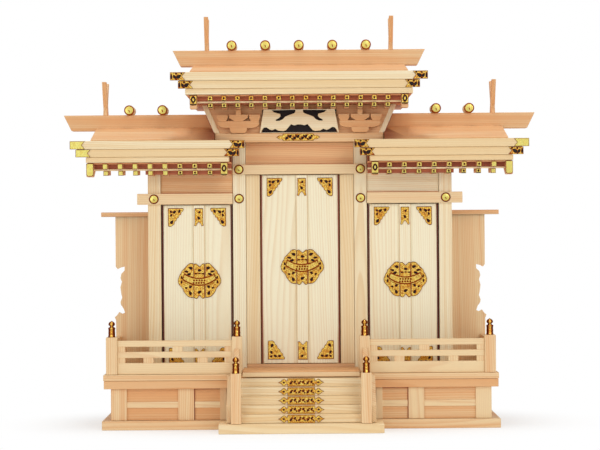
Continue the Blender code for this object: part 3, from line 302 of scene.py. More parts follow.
class Joinery:
    """Planed members fitted together as one piece, each with the grain of its own plank."""

    def __init__(self, name, stock="plain", blush_and_shade=0.4):
        self.name = name
        self.stock = stock
        self.blush_and_shade = blush_and_shade
        self.bm = bmesh.new()
        self.grain = self.bm.verts.layers.float_vector.new("grain")
        self.tone = self.bm.verts.layers.float.new("blush_and_shade")
        self.chance = random.Random(name)

    def mark(self, before, along, blush_and_shade=None):
        """Lays the vertices made since `before` into a plank of their own."""
        order = {"x": (0, 1, 2), "y": (1, 0, 2), "z": (2, 0, 1)}[along]
        turn = self.chance.uniform(0.0, math.tau)
        away = self.chance.uniform(0.05, 0.13)
        shift = Vector((self.chance.uniform(-2.0, 2.0), away * math.cos(turn), away * math.sin(turn)))
        tone = (self.blush_and_shade if blush_and_shade is None else blush_and_shade) + self.chance.uniform(-0.05, 0.05)
        for vertex in self.bm.verts:
            if vertex not in before:
                vertex[self.grain] = Vector([vertex.co[axis] for axis in order]) + shift
                vertex[self.tone] = tone

    def paint_shadow_inward(self, cuts, end, depth, front):
        """Paints the shadow of the middle roof: darkens the members towards the inner end of a wing, in
        front of a line.
        """
        for cut in cuts + tuple(-cut for cut in cuts):
            parts = self.bm.verts[:] + self.bm.edges[:] + self.bm.faces[:]
            bmesh.ops.bisect_plane(self.bm, geom=parts, plane_co=(cut, 0.0, 0.0), plane_no=(1.0, 0.0, 0.0))
        for vertex in self.bm.verts:
            near = max(0.0, 1.0 - (abs(vertex.co.x) - end) / (cuts[0] - end))
            if vertex.co.y < front:
                vertex[self.tone] += depth * near ** 1.6

    def board(self, low, high, along="x", edge=0.0004, blush_and_shade=None):
        before = set(self.bm.verts)
        low, high = Vector(low), Vector(high)
        box = Matrix.Translation((low + high) / 2) @ Matrix.Diagonal((*(high - low), 1.0))
        cube = bmesh.ops.create_cube(self.bm, size=1.0, matrix=box)
        ease(self.bm, {line for corner in cube["verts"] for line in corner.link_edges}, edge)
        self.mark(before, along, blush_and_shade)
        return self

    def half(self, side, near, far, along="x", edge=0.0004, blush_and_shade=None):
        """A board given for the right half, and turned over to the left where side is -1."""
        first, last = sorted((side * near[0], side * far[0]))
        return self.board((first, near[1], near[2]), (last, far[1], far[2]), along, edge, blush_and_shade)

    def sawn(self, outline, start, end, facing="front", along="x", edge=0.0003, blush_and_shade=None):
        """A board cut to an outline: X and Z seen from the front, or Y and Z seen from the side."""
        before = set(self.bm.verts)
        if facing == "front":
            corners = [self.bm.verts.new((u, start, v)) for u, v in outline]
            push = (0.0, end - start, 0.0)
        else:
            corners = [self.bm.verts.new((start, u, v)) for u, v in outline]
            push = (end - start, 0.0, 0.0)
        face = self.bm.faces.new(corners)
        grown = bmesh.ops.extrude_face_region(self.bm, geom=[face])
        moved = [part for part in grown["geom"] if isinstance(part, bmesh.types.BMVert)]
        bmesh.ops.translate(self.bm, vec=push, verts=moved)
        faces = {f for corner in corners + moved for f in corner.link_faces}
        bmesh.ops.recalc_face_normals(self.bm, faces=list(faces))
        lines = {line for f in faces for line in f.edges if line.calc_face_angle(0.0) > 0.5}
        ease(self.bm, lines, edge)
        self.mark(before, along, blush_and_shade)
        return self

    def rod(self, middle, radius, length, axis, along, blush_and_shade=None, segments=24):
        """A round member, smooth along its length."""
        before = set(self.bm.verts)
        turn = {"x": Matrix.Rotation(math.pi / 2, 4, "Y"), "y": Matrix.Rotation(math.pi / 2, 4, "X")}
        place = Matrix.Translation(middle) @ turn.get(axis, Matrix.Identity(4))
        made = bmesh.ops.create_cone(
            self.bm, cap_ends=True, segments=segments, radius1=radius, radius2=radius, depth=length,
            matrix=place,
        )
        faces = {f for corner in made["verts"] for f in corner.link_faces}
        for f in faces:
            f.smooth = len(f.verts) == 4
        self.mark(before, along, blush_and_shade)
        return self

    def node(self, node, along, edge=0.0003, blush_and_shade=None, below=None):
        """The frame's own solid, or its part below a height, with its edges eased."""
        before = set(self.bm.verts)
        solid = bmesh.new()
        solid.from_mesh(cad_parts[node].data)
        bmesh.ops.remove_doubles(solid, verts=solid.verts, dist=0.000005)
        if below is not None:
            parts = solid.verts[:] + solid.edges[:] + solid.faces[:]
            cut = bmesh.ops.bisect_plane(
                solid, geom=parts, plane_co=(0, 0, below), plane_no=(0, 0, 1), clear_outer=True
            )
            rim = [part for part in cut["geom_cut"] if isinstance(part, bmesh.types.BMEdge)]
            bmesh.ops.holes_fill(solid, edges=rim, sides=0)
        bmesh.ops.dissolve_limit(solid, angle_limit=0.02, verts=solid.verts, edges=solid.edges)
        ease(solid, [line for line in solid.edges if line.calc_face_angle(0.0) > 0.5], edge)
        for f in solid.faces:
            f.material_index = 0
            f.smooth = False
        shape = bpy.data.meshes.new(node + "_shape")
        solid.to_mesh(shape)
        solid.free()
        self.bm.from_mesh(shape)
        bpy.data.meshes.remove(shape)
        self.mark(before, along, blush_and_shade)
        return self

    def done(self, *nodes, body="root"):
        slot, material = STOCK[self.stock]
        mesh = bpy.data.meshes.new(self.name)
        self.bm.to_mesh(mesh)
        self.bm.free()
        mesh.materials.append(material)
        piece = bpy.data.objects.new(self.name, mesh)
        bpy.context.scene.collection.objects.link(piece)
        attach(piece, body)
        if nodes:
            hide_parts(*nodes)
        return piece


Joinery("plinth_board", "plain", 0.4).board(*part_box("plinth"), edge=0.0007).done("plinth")
Joinery("step_base", "pale", 0.85).board(*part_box("stair_base"), edge=0.0007).done("stair_base")


# The base
# Low walls between the plinth and the deck: stout posts, thin panels set back between them and
# one rail across the middle of each panel.
BASE_POST = 0.0196
BASE_SET_BACK = 0.0030
PANEL = 0.0050
BASE_RAIL = 0.0078
BASE_RAIL_DROP = 0.0005
BASE_BEAD = 0.0010
BASE_RAIL_INSET = 0.005
FRONT_POSTS = ((0.0965, 0.0080), (0.14245, BASE_POST), (0.2257, BASE_POST))

low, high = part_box("base_wall_front")
rear_low, rear_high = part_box("base_wall_rear")
rail_low = (low.z + high.z) / 2 - BASE_RAIL / 2 - BASE_RAIL_DROP
rail_high = rail_low + BASE_RAIL
panel_y = low.y + BASE_SET_BACK
base = Joinery("base_front", "plain", 0.9)
# The left half of the front is set darker than the right: painted shade cast by the steps.
for start, end, tone in ((low.x, 0.0, 0.95), (0.0, high.x, 0.65)):
    base.board((start, panel_y, low.z), (end, panel_y + PANEL, high.z), blush_and_shade=tone)
rail_front = low.y + BASE_SET_BACK / 2
base.board((low.x + 0.001, rail_front, rail_low), (high.x - 0.001, panel_y, rail_high), blush_and_shade=0.1)
# The posts on the left are darker too: painted shade.
for side, tone in ((-1, 0.45), (1, 0.0)):
    for x, width in FRONT_POSTS:
        base.half(side, (x - width / 2, low.y, low.z), (x + width / 2, high.y, high.z), "z", blush_and_shade=tone)
base.done("base_wall_front")
# Thin beads of the red stock along the top of each inner panel and beside its post paint the shade there.
bead = Joinery("base_beads", "red", 0.7)
inner = FRONT_POSTS[0][0] + FRONT_POSTS[0][1] / 2
outer = FRONT_POSTS[1][0] - BASE_POST / 2
seat = panel_y + 0.0004
for side in (-1, 1):
    bead.half(side, (outer - BASE_BEAD, panel_y - 0.0016, low.z), (outer, seat, high.z), "z", 0.0002)
    bead.half(side, (inner, panel_y - 0.0014, high.z - BASE_BEAD), (outer, seat, high.z), "x", 0.0002)
bead.done()

base = Joinery("base_sides", "plain", 0.9)
panel_back = rear_high.y - BASE_SET_BACK
side_face = high.x - BASE_SET_BACK
base.board((-side_face, panel_back - PANEL, low.z), (side_face, panel_back, high.z))
rail_back = rear_high.y - BASE_SET_BACK / 2
rail_end = high.x - BASE_RAIL_INSET
base.board((-rail_end, panel_back, rail_low), (rail_end, rail_back, rail_high), blush_and_shade=0.4)
for middle in (-1.0, 0.0, 1.0):
    x = middle * (high.x - BASE_POST / 2)
    start = rear_high.y - (BASE_POST if middle else BASE_POST / 2)
    base.board((x - BASE_POST / 2, start, low.z), (x + BASE_POST / 2, rear_high.y, high.z), "z", blush_and_shade=0.6)
for side in (-1, 1):
    base.half(side, (side_face - PANEL, rear_low.y, low.z), (side_face, panel_back - PANEL, high.z), "y")
    far = (high.x - BASE_SET_BACK / 2, rear_high.y - BASE_POST, rail_high)
    base.half(side, (side_face, rear_low.y + 0.001, rail_low), far, "y", blush_and_shade=0.4)
base.done("base_wall_rear")


# The deck
# A frame of boards with a floor laid on it, and a broad sill in front of the middle doors that
# ends in a rounded nosing over the steps.
SILL_NOSING = 0.0055
Joinery("deck_beam", "plain", 0.85).board(*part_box("deck_frame"), edge=0.0006).done("deck_frame")
Joinery("deck_floor", "plain", 0.35).board(*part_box("deck_boards"), edge=0.0006).done("deck_boards")
low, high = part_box("landing")
deck_low, deck_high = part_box("deck_boards")
sill = Joinery("sill", "plain", 0.75)
sill.board((low.x, low.y, low.z), (high.x, deck_low.y, low.z + SILL_NOSING), "x", 0.0006, 0.1)
sill.board((low.x, low.y + 0.0006, low.z + SILL_NOSING), (high.x, deck_low.y, high.z), "x", 0.0006)
sill.board((low.x, deck_low.y, deck_high.z), (high.x, high.y, high.z), "x", 0.0006)
sill.done("landing")


# The steps
# Five solid steps between two stair boards, which follow the slope of the flight. Each riser
# carries a gilt plate, which comes with the fittings.
STEPS = 5
NOSING = 0.0003

low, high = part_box("stair_flight")
base_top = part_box("stair_base")[1].z
rise = (high.z - base_top) / STEPS
tread = (high.y - low.y) / STEPS
flight = Joinery("steps", "pale", 0.70)
for step in range(STEPS):
    front = low.y + tread * step
    bottom = max(low.z, base_top + rise * step) + NOSING / 2
    flight.board((low.x, front, bottom), (high.x, high.y, base_top + rise * (step + 1)), "x", 0.0005)
flight.done("stair_flight")
for side in ("left", "right"):
    name = f"stair_side_{side}"
    Joinery(f"stair_board_{side}", "plain", 0.3).node(name, "y", 0.0004).done(name)


# The rails of the steps
# A square newel stands on the base of the steps. Two rails climb from it to the post at the top,
# and a gilt cap shaped like an onion flower (giboshi) is fitted over its head.
class Giltwork:
    """Cut and chased brass, gilt, each plate over a dark ground that paints its shadow, gathered into one
    piece.

    Its patina-and-light value says how each place looks: -0.5 is plain, flat gold that paints glare, 0
    chased, 0.5 brown, 1 black, which also paints shade and dark reflections.
    """

    def __init__(self, name, plain=False):
        self.name = name
        self.face = GLARE_FACE if plain else 0.0
        self.bm = bmesh.new()
        self.patina_and_light = self.bm.verts.layers.float.new("patina_and_light")

    def age(self, before, patina_and_light):
        for vertex in self.bm.verts:
            if vertex not in before:
                vertex[self.patina_and_light] = patina_and_light

    def turned(self, profile, middle, axis, segments=32, reflection_bands=0):
        """Turned on a lathe from (radius, height, patina-and-light) points. Reflection bands are dark
        stripes round it, painted reflections.
        """
        before = set(self.bm.verts)
        across, up = {
            "z": (Vector((1, 0, 0)), Vector((0, 0, 1))),
            "y": (Vector((1, 0, 0)), Vector((0, -1, 0))),
            "-y": (Vector((1, 0, 0)), Vector((0, 1, 0))),
        }[axis]
        middle = Vector(middle)
        line = [self.bm.verts.new(middle + across * point[0] + up * point[1]) for point in profile]
        edges = [self.bm.edges.new(pair) for pair in zip(line, line[1:])]
        bmesh.ops.spin(
            self.bm, geom=line + edges, cent=middle, axis=up, angle=math.tau, steps=segments,
            use_merge=True, use_duplicate=False,
        )
        fresh = [vertex for vertex in self.bm.verts if vertex not in before]
        bmesh.ops.remove_doubles(self.bm, verts=fresh, dist=0.00001)
        faces = [f for f in self.bm.faces if all(vertex not in before for vertex in f.verts)]
        bmesh.ops.recalc_face_normals(self.bm, faces=faces)
        for f in faces:
            f.smooth = True
        for vertex in self.bm.verts:
            if vertex in before:
                continue
            away = vertex.co - middle
            rise = away.dot(up)
            reach = (away - up * rise).length
            nearest = min(profile, key=lambda point: (point[0] - reach) ** 2 + (point[1] - rise) ** 2)
            vertex[self.patina_and_light] = nearest[2]
            if reflection_bands:
                dark_reflection = 0.5 - 0.5 * math.cos(math.atan2(away.y, away.x) * reflection_bands)
                vertex[self.patina_and_light] = max(nearest[2], dark_reflection)
        return self

    def sheet(self, outline, seat, thick, facing, slot, patina_and_light):
        """A thin flat piece cut to an outline in X and Z."""
        before = set(self.bm.verts)
        corners = [self.bm.verts.new((u, seat, v)) for u, v in outline]
        grown = bmesh.ops.extrude_face_region(self.bm, geom=[self.bm.faces.new(corners)])
        raised = [part for part in grown["geom"] if isinstance(part, bmesh.types.BMVert)]
        bmesh.ops.translate(self.bm, vec=(0.0, facing * thick, 0.0), verts=raised)
        faces = {f for corner in corners + raised for f in corner.link_faces}
        bmesh.ops.recalc_face_normals(self.bm, faces=list(faces))
        for f in faces:
            f.material_index = slot
        self.age(before, patina_and_light)

    def backing(self, outline, seat, ground, thick, facing):
        """A dark sheet a little larger than an outline, which paints the shade round a plate and in its
        openings.
        """
        centre = Vector((sum(u for u, v in outline), sum(v for u, v in outline))) / len(outline)
        size = max((Vector(point) - centre).length for point in outline)
        grow = 1.0 + ground / size
        grown = [centre + (Vector(point) - centre) * grow for point in outline]
        self.sheet(grown, seat, thick, facing, 1, 0.0)

    def chased(self, line, seat, width=0.0005, facing=-1):
        """A brown line along some points, as a punch leaves it in the gold."""
        left = []
        right = []
        for number, (u, v) in enumerate(line):
            run = Vector(line[min(number + 1, len(line) - 1)]) - Vector(line[max(number - 1, 0)])
            run = run.normalized() * width / 2
            left.append((u - run.y, v + run.x))
            right.append((u + run.y, v - run.x))
        self.sheet(left + right[::-1], seat, 0.0001, facing, 0, LINE_PATINA)

    def plate(self, outline, openings, seat, thick=0.0008, ground=0.0004, rim=0.0005, facing=-1, lines=()):
        """A plate cut to an outline and pierced, with brown edges, partly patina and partly painted shade,
        on a dark ground a little larger that paints its shadow.
        """
        before = set(self.bm.verts)
        back = seat + facing * thick
        edges = []
        for loop in [outline] + openings:
            corners = [self.bm.verts.new((u, back, v)) for u, v in loop]
            edges += [self.bm.edges.new(pair) for pair in zip(corners, corners[1:] + corners[:1])]
        filled = bmesh.ops.triangle_fill(self.bm, use_beauty=True, use_dissolve=False, edges=edges)
        faces = [part for part in filled["geom"] if isinstance(part, bmesh.types.BMFace)]
        if faces and faces[0].normal.y * facing < 0:
            bmesh.ops.reverse_faces(self.bm, faces=faces)
        inside = list(faces)
        for depth in (0.0, -RECESS):
            inner = bmesh.ops.inset_region(
                self.bm, faces=inside, thickness=rim / 2, depth=depth, use_boundary=True,
                use_even_offset=True,
            )
            faces += inner["faces"]
        grown = bmesh.ops.extrude_face_region(self.bm, geom=faces, use_keep_orig=True)
        for part in grown["geom"]:
            if isinstance(part, bmesh.types.BMVert):
                part.co.y = seat
        fresh = [f for f in self.bm.faces if all(corner not in before for corner in f.verts)]
        bmesh.ops.recalc_face_normals(self.bm, faces=fresh)
        self.age(before, self.face)
        # The rim of the face is darkened: partly patina, partly painted shade at the plate's edge.
        for vertex in self.bm.verts:
            if vertex not in before and min(abs(vertex.co.y - back), abs(vertex.co.y - seat)) < RECESS / 3:
                vertex[self.patina_and_light] = EDGE_PATINA_AND_SHADE
        for line in lines:
            self.chased(line, back - facing * RECESS, 0.0005, facing)
        if ground is not None:
            self.backing(outline, seat, ground, thick * 0.3, facing)
        return self

    def done(self, body="root"):
        mesh = bpy.data.meshes.new(self.name)
        self.bm.to_mesh(mesh)
        self.bm.free()
        mesh.materials.append(gilt)
        mesh.materials.append(shade_ground)
        piece = bpy.data.objects.new(self.name, mesh)
        bpy.context.scene.collection.objects.link(piece)
        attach(piece, body)
        return piece


# The glare face is flat plain gold that paints glare where the fittings catch the light.
GLARE_FACE = -0.5
EDGE_PATINA_AND_SHADE = 0.75
LINE_PATINA = 0.6
RECESS = 0.00025

gilt, gilt_tree, gilt_surface = finish("gilt_brass")
patina_and_light = carried(gilt_tree, "patina_and_light")
metal_place = spot(gilt_tree)
mottle = metal_place.clouds(260.0, 3.0).between(0.35, 0.7)
punches = metal_place.make("ShaderNodeTexVoronoi", {"Vector": metal_place, "Scale": 900.0})
beaten = punches.between(0.15, 0.55)
bend = metal_place.clouds(300.0, 1.0) * 0.0016
bent = metal_place.make("ShaderNodeVectorMath", {0: metal_place, 1: bend}, operation="ADD")
edge = bent.make("ShaderNodeTexVoronoi", {"Vector": bent, "Scale": 430.0}, feature="DISTANCE_TO_EDGE")
scrolls = 1.0 - edge.between(0.03, 0.14)
warm_gold = mixed(mottle, paint(240, 220, 112), paint(224, 176, 70))
chased = mixed(beaten * 0.15 + scrolls * 0.7, warm_gold, paint(168, 82, 24))
plain_and_glare_gold = mixed(mottle * 0.6, paint(208, 198, 112), paint(204, 176, 84))
faces = mixed(patina_and_light.between(-0.4, -0.1), plain_and_glare_gold, chased)
lined = mixed(patina_and_light.between(0.1, 0.5), faces, paint(146, 62, 24))
mixed(patina_and_light.between(0.7, 1.0), lined, paint(30, 12, 6)).feed(gilt_surface.inputs["Base Color"])
(0.30 + mottle * 0.14 + patina_and_light.between(0.0, 1.0) * 0.3).feed(gilt_surface.inputs["Roughness"])
gilt_surface.inputs["Metallic"].default_value = 1.0
hammered = beaten.make("ShaderNodeBump", {"Height": beaten, "Strength": 0.4, "Distance": 0.0001})
hammered.feed(gilt_surface.inputs["Normal"])

# The dark ground is painted shade, under each plate and showing round it and through it.
shade_ground, ground_tree, ground_surface = finish("dark_ground")
ground_place = spot(ground_tree)
dull = ground_place.clouds(700.0, 2.0).between(0.3, 0.7)
mixed(dull, paint(10, 5, 4), paint(34, 14, 6)).feed(ground_surface.inputs["Base Color"])
(0.75 + dull * 0.2).feed(ground_surface.inputs["Roughness"])

FINIAL_RADIUS = 0.0044
FINIAL_HEIGHT = 0.0205
FINIAL_PROFILE = (
    (0.00, -0.02), (1.00, -0.02), (1.04, 0.02), (1.04, 0.07), (0.97, 0.09), (0.96, 0.22), (1.00, 0.24),
    (1.00, 0.28), (0.95, 0.30), (0.94, 0.48), (1.02, 0.50), (1.02, 0.56), (0.86, 0.59), (0.60, 0.61),
    (0.52, 0.645), (0.58, 0.68), (0.80, 0.71), (0.93, 0.76), (0.92, 0.82), (0.78, 0.88), (0.50, 0.93),
    (0.22, 0.96), (0.10, 0.985), (0.00, 1.00),
)


def giboshi(name, *feet):
    """A gilt cap over the head of each post, with four dark bands up its sides that paint dark reflections.
    """
    caps = Giltwork(name)
    profile = [(FINIAL_RADIUS * reach, FINIAL_HEIGHT * rise, 0.0) for reach, rise in FINIAL_PROFILE]
    for foot in feet:
        caps.turned(profile, foot, "z", 32, reflection_bands=4)
    return caps.done()


NEWEL = 0.0126
NEWEL_X = 0.0790
NEWEL_TOP = 0.0729
RAIL_POST_TOP = 0.1147
RAIL_THICK = 0.0062
RAIL_HEIGHT = 0.0074
STAIR_RAIL_DROPS = (0.0050, 0.0180)

deck_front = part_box("deck_boards")[0].y
for side, word in ((-1, "left"), (1, "right")):
    low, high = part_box(f"stair_rail_{word}")
    x = side * NEWEL_X
    slope = (RAIL_POST_TOP - NEWEL_TOP) / (deck_front - low.y)
    rails = Joinery(f"step_rail_{word}", "plain", 0.4)
    rails.board((x - NEWEL / 2, low.y, low.z), (x + NEWEL / 2, low.y + NEWEL, NEWEL_TOP), "z", 0.0007)
    for drop in STAIR_RAIL_DROPS:
        start = low.y + NEWEL
        foot = NEWEL_TOP - drop - RAIL_HEIGHT
        head = foot + slope * (high.y - start)
        outline = [(start, foot), (high.y, head), (high.y, head + RAIL_HEIGHT), (start, foot + RAIL_HEIGHT)]
        rails.sawn(outline, x - RAIL_THICK / 2, x + RAIL_THICK / 2, "side", "y", 0.0005)
    rails.done(f"stair_rail_{word}")
    giboshi(f"newel_cap_{word}", (x, low.y + NEWEL / 2, NEWEL_TOP))


# The railings of the deck
# Three rails between the post at the corner and the post by the steps, with short struts that
# hold them apart, and the same again along the side of the deck up to the screen.
RAIL_POST = 0.0137
RAIL_POST_X = 0.2340
RAIL_BOARD = 0.0140
RAIL_GAP = 0.0064
STRUT = 0.0125
STRUT_INSET = 0.0006
UPPER_STRUTS_X = (0.0883, 0.1527, 0.2237)
LOWER_STRUTS_X = (0.0883, 0.1218, 0.1886, 0.2237)
UPPER_STRUTS_Y = (-0.045, 0.014)
LOWER_STRUTS_Y = (-0.020, 0.014)

for side, word in ((-1, "left"), (1, "right")):
    low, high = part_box(f"railing_{word}")
    rail_y = low.y + RAIL_POST / 2
    half = RAIL_THICK / 2
    inset = half - STRUT_INSET
    board_top = low.z + RAIL_BOARD
    middle_low = board_top + RAIL_GAP
    middle_high = middle_low + RAIL_HEIGHT
    top_low = middle_high + RAIL_GAP
    railing = Joinery(f"deck_railing_{word}", "plain", 0.35)
    for x, width in ((RAIL_POST_X, RAIL_POST), (NEWEL_X, NEWEL)):
        far = (x + width / 2, low.y + width, RAIL_POST_TOP)
        railing.half(side, (x - width / 2, low.y, low.z), far, "z", 0.0008, 0.35)
    start, end = NEWEL_X + NEWEL / 2, RAIL_POST_X - RAIL_POST / 2
    for z_low, z_high in ((low.z, board_top), (middle_low, middle_high), (top_low, top_low + RAIL_HEIGHT)):
        railing.half(side, (start, rail_y - half, z_low), (end, rail_y + half, z_high), "x", 0.0005, 0.0)
        near = (RAIL_POST_X - half, low.y + RAIL_POST, z_low)
        railing.half(side, near, (RAIL_POST_X + half, high.y, z_high), "y", 0.0005)
    for struts, z_low, z_high in (
        (LOWER_STRUTS_X, board_top, middle_low), (UPPER_STRUTS_X, middle_high, top_low),
    ):
        for x in struts:
            near = (max(x - STRUT / 2, start), rail_y - inset, z_low)
            far = (min(x + STRUT / 2, end), rail_y + inset, z_high)
            railing.half(side, near, far, "z", 0.0002, 0.25)
    for struts, z_low, z_high in (
        (LOWER_STRUTS_Y, board_top, middle_low), (UPPER_STRUTS_Y, middle_high, top_low),
    ):
        for y in struts:
            near = (RAIL_POST_X - inset, y - STRUT / 2, z_low)
            far = (RAIL_POST_X + inset, y + STRUT / 2, z_high)
            railing.half(side, near, far, "z", 0.0002, 0.25)
    railing.done(f"railing_{word}")
    giboshi(
        f"railing_caps_{word}",
        (side * RAIL_POST_X, rail_y, RAIL_POST_TOP),
        (side * NEWEL_X, low.y + NEWEL / 2, RAIL_POST_TOP),
    )


# Posts and walls
# Four square posts stand on the deck with the walls of the rooms behind them. The back is closed
# with upright boards, butted edge to edge.
for side in ("left", "right"):
    for name, stock, blush_and_shade in (("centre_post", "pale", 0.45), ("outer_post", "pale", 0.55)):
        node = f"{name}_{side}"
        Joinery(f"{node}_planed", stock, blush_and_shade).board(*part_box(node), "z", 0.0006).done(node)
    for name in ("hall_wall", "side_wall"):
        node = f"{name}_{side}"
        Joinery(f"{node}_board", "plain", 0.5).board(*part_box(node), "z", 0.0003).done(node)

BACK_JOINT = 0.00015
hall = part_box("centre_post_right")[1].x
low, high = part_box("back_wall")
wing_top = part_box("outer_post_right")[1].z
back = Joinery("back_boards", "plain", 0.45)
for first, last, count, top in (
    (low.x, -hall, 3, wing_top), (-hall, hall, 4, high.z), (hall, high.x, 3, wing_top),
):
    width = (last - first) / count
    for number in range(count):
        x = first + width * number
        back.board((x + BACK_JOINT, low.y, low.z), (x + width - BACK_JOINT, high.y, top), "z", 0.0005)
back.done("back_wall")


# The side screens
# A thin board stands out from each outer post, fretted along its free edge and along the post,
# with a cap board laid over its head.
SCREEN_CAP = 0.0058

for side in ("left", "right"):
    node = f"side_screen_{side}"
    low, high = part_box(node)
    cap_low = high.z - SCREEN_CAP
    screen = Joinery(f"{node}_fretted", "plain", 0.35).node(node, "z", 0.0003, below=cap_low)
    screen.board((low.x, low.y, cap_low), (high.x, high.y, high.z), "x", 0.0005, 0.6)
    screen.done(node)


# The door frames
# Behind the posts a thin panel closes the space over each pair of doors. A beam is pegged across
# it, and the middle doors have jambs and a raised floor as well. Strips of reddish wood make the
# bead over each beam and the stops that close the gap beside the pivots; their dark red is painted
# shade, a shadow line along the foot of each panel and the dark seen in the gaps.
BEAD = 0.0009
STOP = 0.0020
STOP_FRONT = -0.0180
STOP_DEPTH = 0.003

Joinery("hall_floor", "warm", 0.25).board(*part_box("centre_floor"), "x", 0.0005).done("centre_floor")
for side in ("left", "right"):
    node = f"jamb_{side}"
    Joinery(f"{node}_planed", "pale", 0.75).board(*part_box(node), "z", 0.0005).done(node)
for place, stock, blush_and_shade in (("left", "plain", 0.75), ("right", "pale", 0.4), ("centre", "warm", 0.35)):
    node = f"lintel_panel_{place}"
    Joinery(f"{node}_board", stock, blush_and_shade).board(*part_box(node), "x", 0.0003).done(node)
    node = f"beam_{place}"
    beam_low, beam_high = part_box(node)
    Joinery(f"{node}_planed", "plain", 0.2).board(beam_low, beam_high, "x", 0.0006).done(node)
    panel_low, panel_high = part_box(f"lintel_panel_{place}")
    # A red bead along the foot of each lintel panel paints a shadow line.
    bead = Joinery(f"lintel_bead_{place}", "red", 0.0)
    near = (panel_low.x, panel_low.y - 0.0006, beam_high.z)
    bead.board(near, (panel_high.x, panel_low.y, beam_high.z + BEAD), "x", 0.0002)
    bead.done()
# The stops are dark so that the gaps beside the pivots show painted shade.
stops = Joinery("door_stops", "red", 0.9)
low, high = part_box("left_door_left")
jamb_low, jamb_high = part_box("jamb_right")
for side in (-1, 1):
    for edge_x, way, blush_and_shade, top in (
        (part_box("outer_post_right")[0].x, -1, 1.0, high.z),
        (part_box("centre_post_right")[1].x, 1, 1.0, high.z), (jamb_low.x, -1, 0.2, jamb_high.z),
    ):
        far = (edge_x + way * STOP, STOP_FRONT + STOP_DEPTH, top)
        stops.half(side, (edge_x, STOP_FRONT, low.z), far, "z", 0.0002, blush_and_shade)
stops.done()


# The doors
# Three pairs of thin pale leaves on wooden pivots. The right leaf of each pair carries the strip
# that covers the joint, and the left leaf turns with it.
LEAF_CLEARANCE = 0.0009
PIVOT_SHORT = 0.0003
LEAF_THICK = 0.0050
PIVOT_RADIUS = 0.0015
PIVOT_SHADE = {"centre": (0.0012, 1.0), "left": (0.0008, 3.0), "right": (0.0008, 3.0)}
MEETING_GAP = 0.0008
STRIP_LAP = 0.0050
STRIP_WIDTH = 0.0149
STRIP_THICK = 0.0022
STRIP_SHADOW_LINE = 0.0007

for word in ("centre", "left", "right"):
    leaves = {side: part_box(f"{word}_door_{side}") for side in ("left", "right")}
    middle = leaves["left"][1].x + MEETING_GAP / 2
    for side, (low, high) in leaves.items():
        node = f"{word}_door_{side}"
        sign = -1 if side == "left" else 1
        back = high.y
        front = back - LEAF_THICK
        bottom = low.z + LEAF_CLEARANCE - PIVOT_SHORT
        top = high.z - LEAF_CLEARANCE + PIVOT_SHORT
        edge_x = high.x if sign > 0 else low.x
        axis_x = edge_x - sign * LEAF_THICK / 2
        leaf = Joinery(f"{node}_planed", "pale", 0.12)
        first, last = sorted((axis_x, middle + sign * MEETING_GAP / 2))
        leaf.board((first, front, bottom), (last, back, top), "z", 0.0004)
        round_edge = (axis_x, (front + back) / 2, (bottom + top) / 2)
        leaf.rod(round_edge, LEAF_THICK / 2, top - bottom, "z", "z")
        leaf.rod(round_edge, PIVOT_RADIUS, high.z - low.z, "z", "z")
        # A dark strip along the pivot edge of each leaf paints the shade in the gap beside it.
        shade_from, shade = PIVOT_SHADE[word]
        gap_shade = Joinery(f"{node}_pivot_edge", "red", shade)
        start, end = sorted((axis_x + sign * shade_from, edge_x - sign * 0.0001))
        near = (start, front - 0.0001, bottom + 0.0004)
        gap_shade.board(near, (end, front + 0.0006, top - 0.0004), "z", 0.0001)
        if sign > 0:
            strip, strip_end = middle - STRIP_LAP, middle - STRIP_LAP + STRIP_WIDTH
            face = low.y
            near = (strip, face, bottom + 0.0002)
            leaf.board(near, (strip_end, face + STRIP_THICK, top - 0.0002), "z", 0.0005, 0.05)
            # Two thin darker lines down the edges of the strip paint its shadow lines.
            for start in (strip + 0.0001, strip_end - STRIP_SHADOW_LINE - 0.0001):
                near = (start, face - 0.0001, bottom + 0.0004)
                leaf.board(near, (start + STRIP_SHADOW_LINE, face + 0.0004, top - 0.0004), "z", 0.0001, 1.7)
            near = (middle + MEETING_GAP, face + STRIP_THICK - 0.0001, bottom + 0.0006)
            leaf.board(near, (strip_end - 0.0006, front + 0.0001, top - 0.0006), "z", 0.0)
        leaf.done(node, body=node)
        gap_shade.done(body=node)


# The fittings of the doors
# Pierced corner plates, a forked plate at each end of the strip and a round lock plate across the
# middle with a boat-shaped bolt. They are pinned to the leaf that they cover.
def teardrop(u, v, size, turn=0.0, slim=0.85):
    """An opening of the scrollwork, round at one end and drawn out to a point at the other."""
    points = []
    cosine, sine = math.cos(turn), math.sin(turn)
    for step in range(10):
        angle = math.tau * (step + 0.5) / 10
        x = size * math.cos(angle)
        z = size * slim * math.sin(angle) * math.sin(angle / 2)
        points.append((u + x * cosine - z * sine, v + x * sine + z * cosine))
    return points


def curl(u, v, size, turn, way=1):
    """A line that winds up into a scroll."""
    points = []
    for step in range(12):
        share = step / 11
        angle = turn + way * share * 4.8
        reach = size * (1.0 - 0.75 * share)
        points.append((u + reach * math.cos(angle), v + reach * math.sin(angle)))
    return points


def moved(points, u, v, flip=1):
    """A drawing set at a place, turned over left to right where flip is -1."""
    return [(u + flip * x, v + z) for x, z in points]


def laid(gold, drawing, u, v, seat, flip=1, **sizes):
    """Sets a plate at a place, with its outline, its openings and its chased lines."""
    outline, openings, lines = drawing
    cut = [moved(opening, u, v, flip) for opening in openings]
    drawn = [moved(line, u, v, flip) for line in lines]
    gold.plate(moved(outline, u, v, flip), cut, seat, lines=drawn, **sizes)


